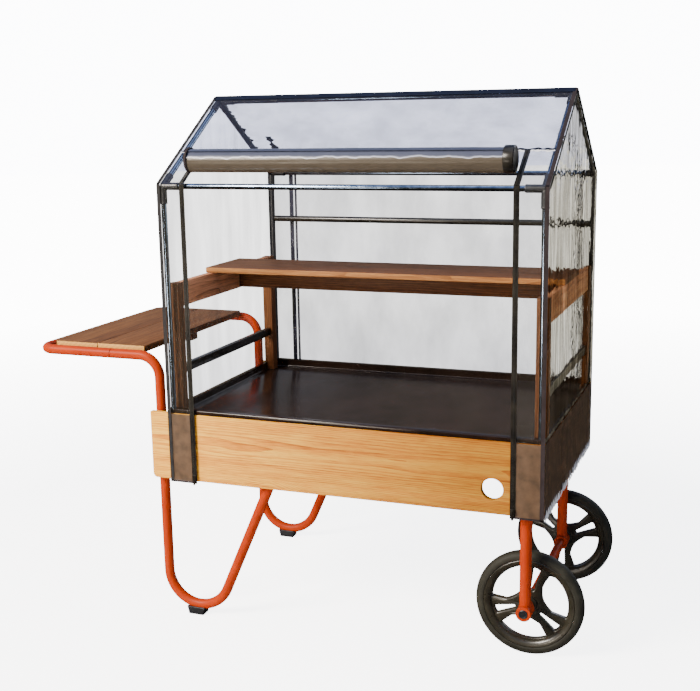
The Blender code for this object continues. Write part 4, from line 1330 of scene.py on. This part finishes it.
def bindings():
    """Sewn bindings along the ridge, the corners and the edges of the ends and hems."""
    for side, x, face in (("left", END_LEFT, -1), ("right", END_RIGHT, 1)):
        edge, outside = x - face * TAPE_WIDTH / 2, x + face * TAPE_LIFT
        finish, crinkle, foot = (BROWN_TAPE, 0.0, HEM) if side == "right" else (
            GREY_TAPE, 0.022, TRAY_HIGH.z
        )
        for tag, row, cloth, wander in (("front", -1, finish, 0.0), ("back", 1, OLIVE_TAPE, crinkle)):
            slope = [(edge, *on_slope(row, rise, TAPE_LIFT)) for rise in (0.001, SLANT - 0.004)]
            tape(f"binding_rafter_{tag}_{side}", slope, TAPE_WIDTH, slope_face(row), cloth, wander)
        post = [(edge, -WALL - TAPE_LIFT, z) for z in (EAVE - 0.001, HEM)]
        tape(f"binding_post_front_{side}", post, TAPE_WIDTH, (0, -1, 0), finish)
        post = [(outside, WALL - 0.006, z) for z in (EAVE - 0.001, foot)]
        tape(f"binding_post_back_{side}", post, TAPE_WIDTH, (face, 0, 0), OLIVE_TAPE)
        corner = WALL - 0.006
        gable_edge = [
            (outside, y, z)
            for y, z in ((-corner, EAVE - 0.004), (0.0, RIDGE - 0.008), (corner, EAVE - 0.004))
        ]
        tape(
            f"binding_gable_{side}", gable_edge, 0.009, (face, 0, 0),
            OLIVE_TAPE if side == "right" else BROWN_TAPE,
        )
    for tag, side in (("front", -1), ("back", 1)):
        y = side * (WALL + TAPE_LIFT)
        for end, low, high in (
            ("left", END_LEFT + 0.002, ZIPS["left"]), ("right", ZIPS["right"], END_RIGHT - 0.002)
        ):
            hem = [(x, y, HEM + 0.002) for x in (low, high)]
            tape(f"binding_hem_{tag}_{end}", hem, 0.005, (0, side, 0), BROWN_TAPE)
        ridge = [
            (x, *on_slope(side, SLANT - 0.012, TAPE_LIFT)) for x in (END_LEFT + 0.004, END_RIGHT - 0.004)
        ]
        tape(f"binding_ridge_{tag}", ridge, 0.022, slope_face(side), NAVY_TAPE)


def flap_seam():
    """The seam that holds the rolled flap: a puckered navy tape with a pale piping sewn along it."""
    lines = ("flap_seam", FLAP_SEAM_RISE, 0.008, NAVY_TAPE), (
        "flap_piping", FLAP_SEAM_RISE - 0.007, 0.005, FRINGE
    )
    for name, rise, width, finish in lines:
        line = [(x, *on_slope(-1, rise, TAPE_LIFT)) for x in (END_LEFT + 0.012, END_RIGHT - 0.012)]
        tape(name, line, width, slope_face(-1), finish, 0.007)


def zip_flies():
    """On the back, each zip runs a little way up the roof, and a narrow fly is sewn beside it."""
    for side, x in ZIPS.items():
        slope = [(x, *on_slope(1, rise, 0.0016)) for rise in (0.001, 0.215)]
        tape(f"zip_fly_slope_{side}", slope, 0.018, slope_face(1), ZIP_BLACK, 0.013)
        wall = [(x + 0.016, WALL + 0.0014, z) for z in (HEM, EAVE - 0.001)]
        tape(f"zip_fly_wall_{side}", wall, 0.008, (0, 1, 0), ZIP_BLACK)


def hem_fringe():
    """The lower edge of the right end: a pale strip of foil cut in uneven points, a painted highlight along
    the hem.
    """
    low, high = HEM - 0.006, HEM + 0.030
    x = END_RIGHT + 0.0022

    def at(y, share):
        tooth = y * 42 % 1.0
        top = high - 0.004 - 0.034 * abs(noise.noise(Vector((y * 17, 9.0, 2.0)))) - 0.022 * tooth
        bottom = low + 0.014 * abs(noise.noise(Vector((y * 30, 5.0, 1.0))))
        return (x, y, bottom + (top - bottom) * share)

    across = marks(-WALL + 0.010, WALL - 0.010, 0.003)
    # The points cut away about half of the strip.
    foil_sheet(
        "right_hem_fringe", across, [0.0, 0.5, 1.0], at, FRINGE,
    )


def tooth_chain(tooth, length, shift=(0, 0, 0)):
    """A row of zip teeth going up from a place."""
    gaps = {"use_relative_offset": False, "use_constant_offset": True}
    step = (0, 0, TOOTH_PITCH)
    return worked(
        copied(tooth, shift), "ARRAY", count=int(length / TOOTH_PITCH), constant_offset_displace=step,
        **gaps
    )


def zips():
    """A zip down each side of the front opening and of the back wall: a tape with a chain of teeth.
    The front zips go on up the roof, the left one to the roll and the right one to the seam."""
    tooth = block((-0.0028, -0.0012, -0.0011), (0.0028, 0.0012, 0.0011), 0.0005, 1)
    tops = {"left": ROLL_RISE - 0.006, "right": FLAP_SEAM_RISE - 0.004}
    for side, x in ZIPS.items():
        for row, face in (("front", -1), ("back", 1)):
            y = face * (WALL + 0.0006)
            straps = block(
                (x - ZIP_HALF, y - 0.0004, HEM - 0.001), (x + ZIP_HALF, y + 0.0004, EAVE), 0.0002, 1
            )
            parts = [
                straps, tooth_chain(tooth, EAVE - HEM - 0.004, (x, face * (WALL + 0.0014), HEM + 0.002))
            ]
            if row == "front":
                low, high = (Vector((x, *on_slope(-1, rise, 0.0008))) for rise in (0.0, tops[side]))
                half = (high - low).length / 2
                bar = block((-ZIP_HALF, -half, -0.0004), (ZIP_HALF, half, 0.0016), 0.0002, 1)
                bar.matrix_world = Matrix.Translation((low + high) / 2) @ Matrix.Rotation(SLOPE, 4, "X")
                chain = tooth_chain(tooth, 2 * half)
                foot = Matrix.Translation((x, *on_slope(-1, 0.002, 0.0028)))
                chain.matrix_world = foot @ Matrix.Rotation(SLOPE - math.pi / 2, 4, "X")
                parts += [in_place(bar), in_place(chain)]
            finished(joined(*parts), f"zip_{row}_{side}", ZIP_BLACK, "black_paint")
    bpy.data.objects.remove(tooth, do_unlink=True)


def zip_sliders():
    """A slider body with a raised bridge and a hanging pull with a ball end."""
    for row, face in (("front", -1), ("back", 1)):
        for side in ("left", "right"):
            node = f"zip_slider_{row}_{side}"
            low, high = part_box(node)
            x, y = (low.x + high.x) / 2, (low.y + high.y) / 2
            outline = [
                (-0.0035, 0), (0.0035, 0), (0.0055, 0.006), (0.0055, 0.018), (-0.0055, 0.018),
                (-0.0055, 0.006),
            ]
            half = (high.y - low.y) / 2
            body_low = high.z - 0.018
            upright = Matrix.Rotation(math.pi / 2, 4, "X")
            body = cut_plate([outline], 2 * half, Matrix.Translation((x, y, body_low)) @ upright, 0.0008)
            inner, outer, foot, head = y + face * half * 0.6, y + face * (
                half + 0.002
            ), body_low + 0.004, body_low + 0.014
            corners = [(x, inner, foot), (x, outer, foot), (x, outer, head), (x, inner, head)]
            bridge = bent_tube(arc_path(corners, [0.0015, 0.0015], 6), 0.0009, 12)
            pull = rod(
                (x, y + face * 0.002, body_low + 0.001), (x, y + face * 0.001, low.z + 0.001), 0.0016, 12,
                far_radius=0.0024,
            )
            deselect()
            bpy.ops.mesh.primitive_uv_sphere_add(
                segments=20, ring_count=12, radius=0.0036, location=(x, y + face * 0.001, low.z + 0.0008)
            )
            ball = in_place(bpy.context.object)
            finished(
                joined(body, bridge, pull, ball), f"slider_{row}_{side}", ZIP_BLACK, "black_paint", [node],
                f"slider_{row}_{side}",
            )


def flap_roll():
    """The front flap wound on itself: loose turns that show at the ends, a creased skin, strap and cap."""
    y, z = (ROLL_LOW.y + ROLL_HIGH.y) / 2, (ROLL_LOW.z + ROLL_HIGH.z) / 2
    left, right = ROLL_LOW.x + 0.002, CAP_END - 0.018
    # The loose turns sag a little below the strap and the cap.
    sag = 0.003
    turns, steps, inner, outer = 7, 40, 0.009, 0.0335
    points = []
    for i in range(turns * steps + 1):
        share = i / (turns * steps)
        angle = math.tau * turns * share + 2.2
        radius = inner + (outer - inner) * share
        points.append((radius * math.cos(angle), radius * math.sin(angle)))
    lines = marks(left, right, 0.020)

    def at(x, place):
        index = min(round(place), len(points) - 1)
        py, pz = points[index]
        share = index / (turns * steps)
        swell = 1 + share**3 * 0.020 * noise.noise(Vector((x * 9, index / steps * 2, 3.0)))
        return (x, y + py * swell, z - sag + pz * swell)

    foil_sheet(
        "wound_flap", lines, list(range(len(points))), at, WOUND,
        ["rolled_flap"],
    )
    strap = turned(
        [
            (0.0322, ROLL_LOW.x + 0.002), (0.0352, ROLL_LOW.x + 0.0025), (0.0360, ROLL_LOW.x + 0.005),
            (0.0352, ROLL_LOW.x + 0.0095), (0.0322, ROLL_LOW.x + 0.010),
        ],
        (0, y, z),
        "x",
        64,
    )
    finished(strap, "roll_band", BROWN_TAPE, "black_paint")
    cap = turned(
        [
            (0.0, CAP_END), (0.0335, CAP_END), (0.0358, CAP_END - 0.0020), (0.0360, CAP_END - 0.006),
            (0.0360, CAP_END - 0.026), (0.0350, CAP_END - 0.028), (0.0325, CAP_END - 0.028),
            (0.0325, CAP_END - 0.016), (0.0, CAP_END - 0.016),
        ],
        (0, y, z),
        "x",
        64,
        closed=False,
    )
    finished(cap, "roll_end_cap", ZIP_BLACK, "black_paint")


# Stage


def stage():
    deselect()
    bpy.ops.mesh.primitive_circle_add(vertices=96, radius=30, fill_type="NGON", location=(0, 0, 0))
    floor = bpy.context.object
    floor.name = "studio_floor"
    mat = bpy.data.materials.new("pale_floor")
    mat.use_nodes = True
    tree = mat.node_tree
    matte = tree.nodes["Principled BSDF"]
    matte.inputs["Base Color"].default_value = colour("F4F4F4")
    matte.inputs["Roughness"].default_value = 0.8
    matte.inputs["Specular IOR Level"].default_value = 0.1
    coords = add(tree, "ShaderNodeTexCoord").outputs["Object"]
    away = add(tree, "ShaderNodeVectorMath", {0: coords}, operation="LENGTH").outputs["Value"]
    fade = spread(away, 0.0, 1.0, 1.6, 5.5)
    seen, brightness = backdrop(tree)
    shown = times(brightness, plus(times(fade, 0.60), 0.40))
    glow = add(tree, "ShaderNodeEmission", {"Color": colour("FFFFFF"), "Strength": times(shown, seen)})
    both = add(tree, "ShaderNodeAddShader", {0: matte.outputs[0], 1: glow.outputs[0]})
    mixed = add(tree, "ShaderNodeMixShader", {0: fade, 1: both.outputs[0], 2: glow.outputs[0]})
    tree.links.new(mixed.outputs[0], tree.nodes["Material Output"].inputs["Surface"])
    floor.data.materials.append(mat)
    # The pale floor lights no metal from below, so tubes keep their dark lower edge.
    floor.visible_glossy = False


def backdrop(tree):
    """Whether the eye looks at the studio, and how bright it is: softer where foil hangs in front."""
    path = add(tree, "ShaderNodeLightPath").outputs
    bent = path["Is Transmission Ray"]
    layers = plus(path["Transparent Depth"], bent)
    behind_foil = add(tree, "ShaderNodeMath", {0: layers, 1: 0.5}, operation="GREATER_THAN").outputs[0]
    return maths("MAXIMUM", path["Is Camera Ray"], bent), spread(behind_foil, WHITE, WHITE_BEHIND_FOIL)


def sky():
    """A white backdrop to the eye, and a soft sky above a brown ground for light and reflections."""
    world = bpy.data.worlds.new("studio")
    world.use_nodes = True
    bpy.context.scene.world = world
    tree = world.node_tree
    tree.nodes.clear()
    coords = add(tree, "ShaderNodeTexCoord").outputs["Generated"]
    axes = add(tree, "ShaderNodeSeparateXYZ", {"Vector": coords}).outputs
    stops = [
        (0.0, "2A241A"), (0.36, "4E4436"), (0.47, "9A8C78"), (0.54, "7A7264"), (0.62, "D4DEF2"),
        (0.72, "8FA8D8"), (0.86, "3C62A4"), (1.0, "1E3C78"),
    ]
    lit = ramp(spread(axes[2], 0.0, 1.0, -0.6, 1.0), stops)
    side = spread(axes[0], 1.3, 0.65, -1.0, 1.0)
    soft = add(tree, "ShaderNodeBackground", {"Color": lit, "Strength": side})
    seen, brightness = backdrop(tree)
    tint = ramp(spread(brightness, 0.0, 1.0, WHITE_BEHIND_FOIL, WHITE), [(0.0, "E0E5FF"), (1.0, "FAFBFF")])
    white = add(tree, "ShaderNodeBackground", {"Color": tint, "Strength": brightness})
    mixed = add(tree, "ShaderNodeMixShader", {0: seen, 1: soft.outputs[0], 2: white.outputs[0]})
    out = add(tree, "ShaderNodeOutputWorld")
    tree.links.new(mixed.outputs[0], out.inputs["Surface"])


def lamp(name, place, target, size, power, tint="FFFFFF"):
    light = bpy.data.lights.new(name, "AREA")
    light.shape = "RECTANGLE"
    light.size, light.size_y = size
    light.energy = power
    light.color = colour(tint)[:3]
    obj = bpy.data.objects.new(name, light)
    obj.location = place
    obj.rotation_euler = (Vector(target) - Vector(place)).to_track_quat("-Z", "Y").to_euler()
    bpy.context.scene.collection.objects.link(obj)


def lights():
    lamp("low_fill", (-1.6, -4.6, 0.35), (0.6, 0.0, 0.22), (1.6, 0.7), 60, "FFF2E0")
    lamp("key_softbox", (-3.4, -4.6, 4.4), (0, 0, 0.8), (2.4, 2.4), 1110, "FFF4E6")
    lamp("top_softbox", (0.4, -0.4, 5.5), (0, 0, 0.8), (4, 4), 90, "EAF0FF")
    lamp("back_softbox", (2.8, 4.6, 3.2), (0, 0, 0.8), (3, 3), 110, "F2F5FF")


def camera():
    place, yaw, pitch, roll = Vector((1.2864, -3.196, 1.4924)), math.radians(20.96), math.radians(
        11.53
    ), math.radians(-0.99)
    ahead = Vector((-math.sin(yaw) * math.cos(pitch), math.cos(yaw) * math.cos(pitch), -math.sin(pitch)))
    right = Vector((math.cos(yaw), math.sin(yaw), 0))
    up = right.cross(ahead)
    right, up = right * math.cos(roll) + up * math.sin(roll), up * math.cos(roll) - right * math.sin(roll)
    lens = bpy.data.cameras.new("eye")
    lens.sensor_width = 36
    lens.lens = 57.86
    obj = bpy.data.objects.new("eye", lens)
    bpy.context.scene.collection.objects.link(obj)
    obj.matrix_world = Matrix.Translation(place) @ Matrix((right, up, -ahead)).transposed().to_4x4()
    bpy.context.scene.camera = obj


for build in (camera, push_bar, bent_legs, feet, wheel_legs, axle):
    build()
wheel("front", 0.0144)
wheel("back", 0.0084)
for build in (long_boards, end_boards_and_bearers, planting_tray, handle_table, shelf_frame, house_tubes):
    build()
for build in (
    corner_joints, roof, walls, ends, bindings, zips, flap_seam, zip_flies, hem_fringe, zip_sliders
):
    build()
flap_roll()
frame["nodes"]["axle_rod"].data.materials[0] = STEEL
stage()
sky()
lights()
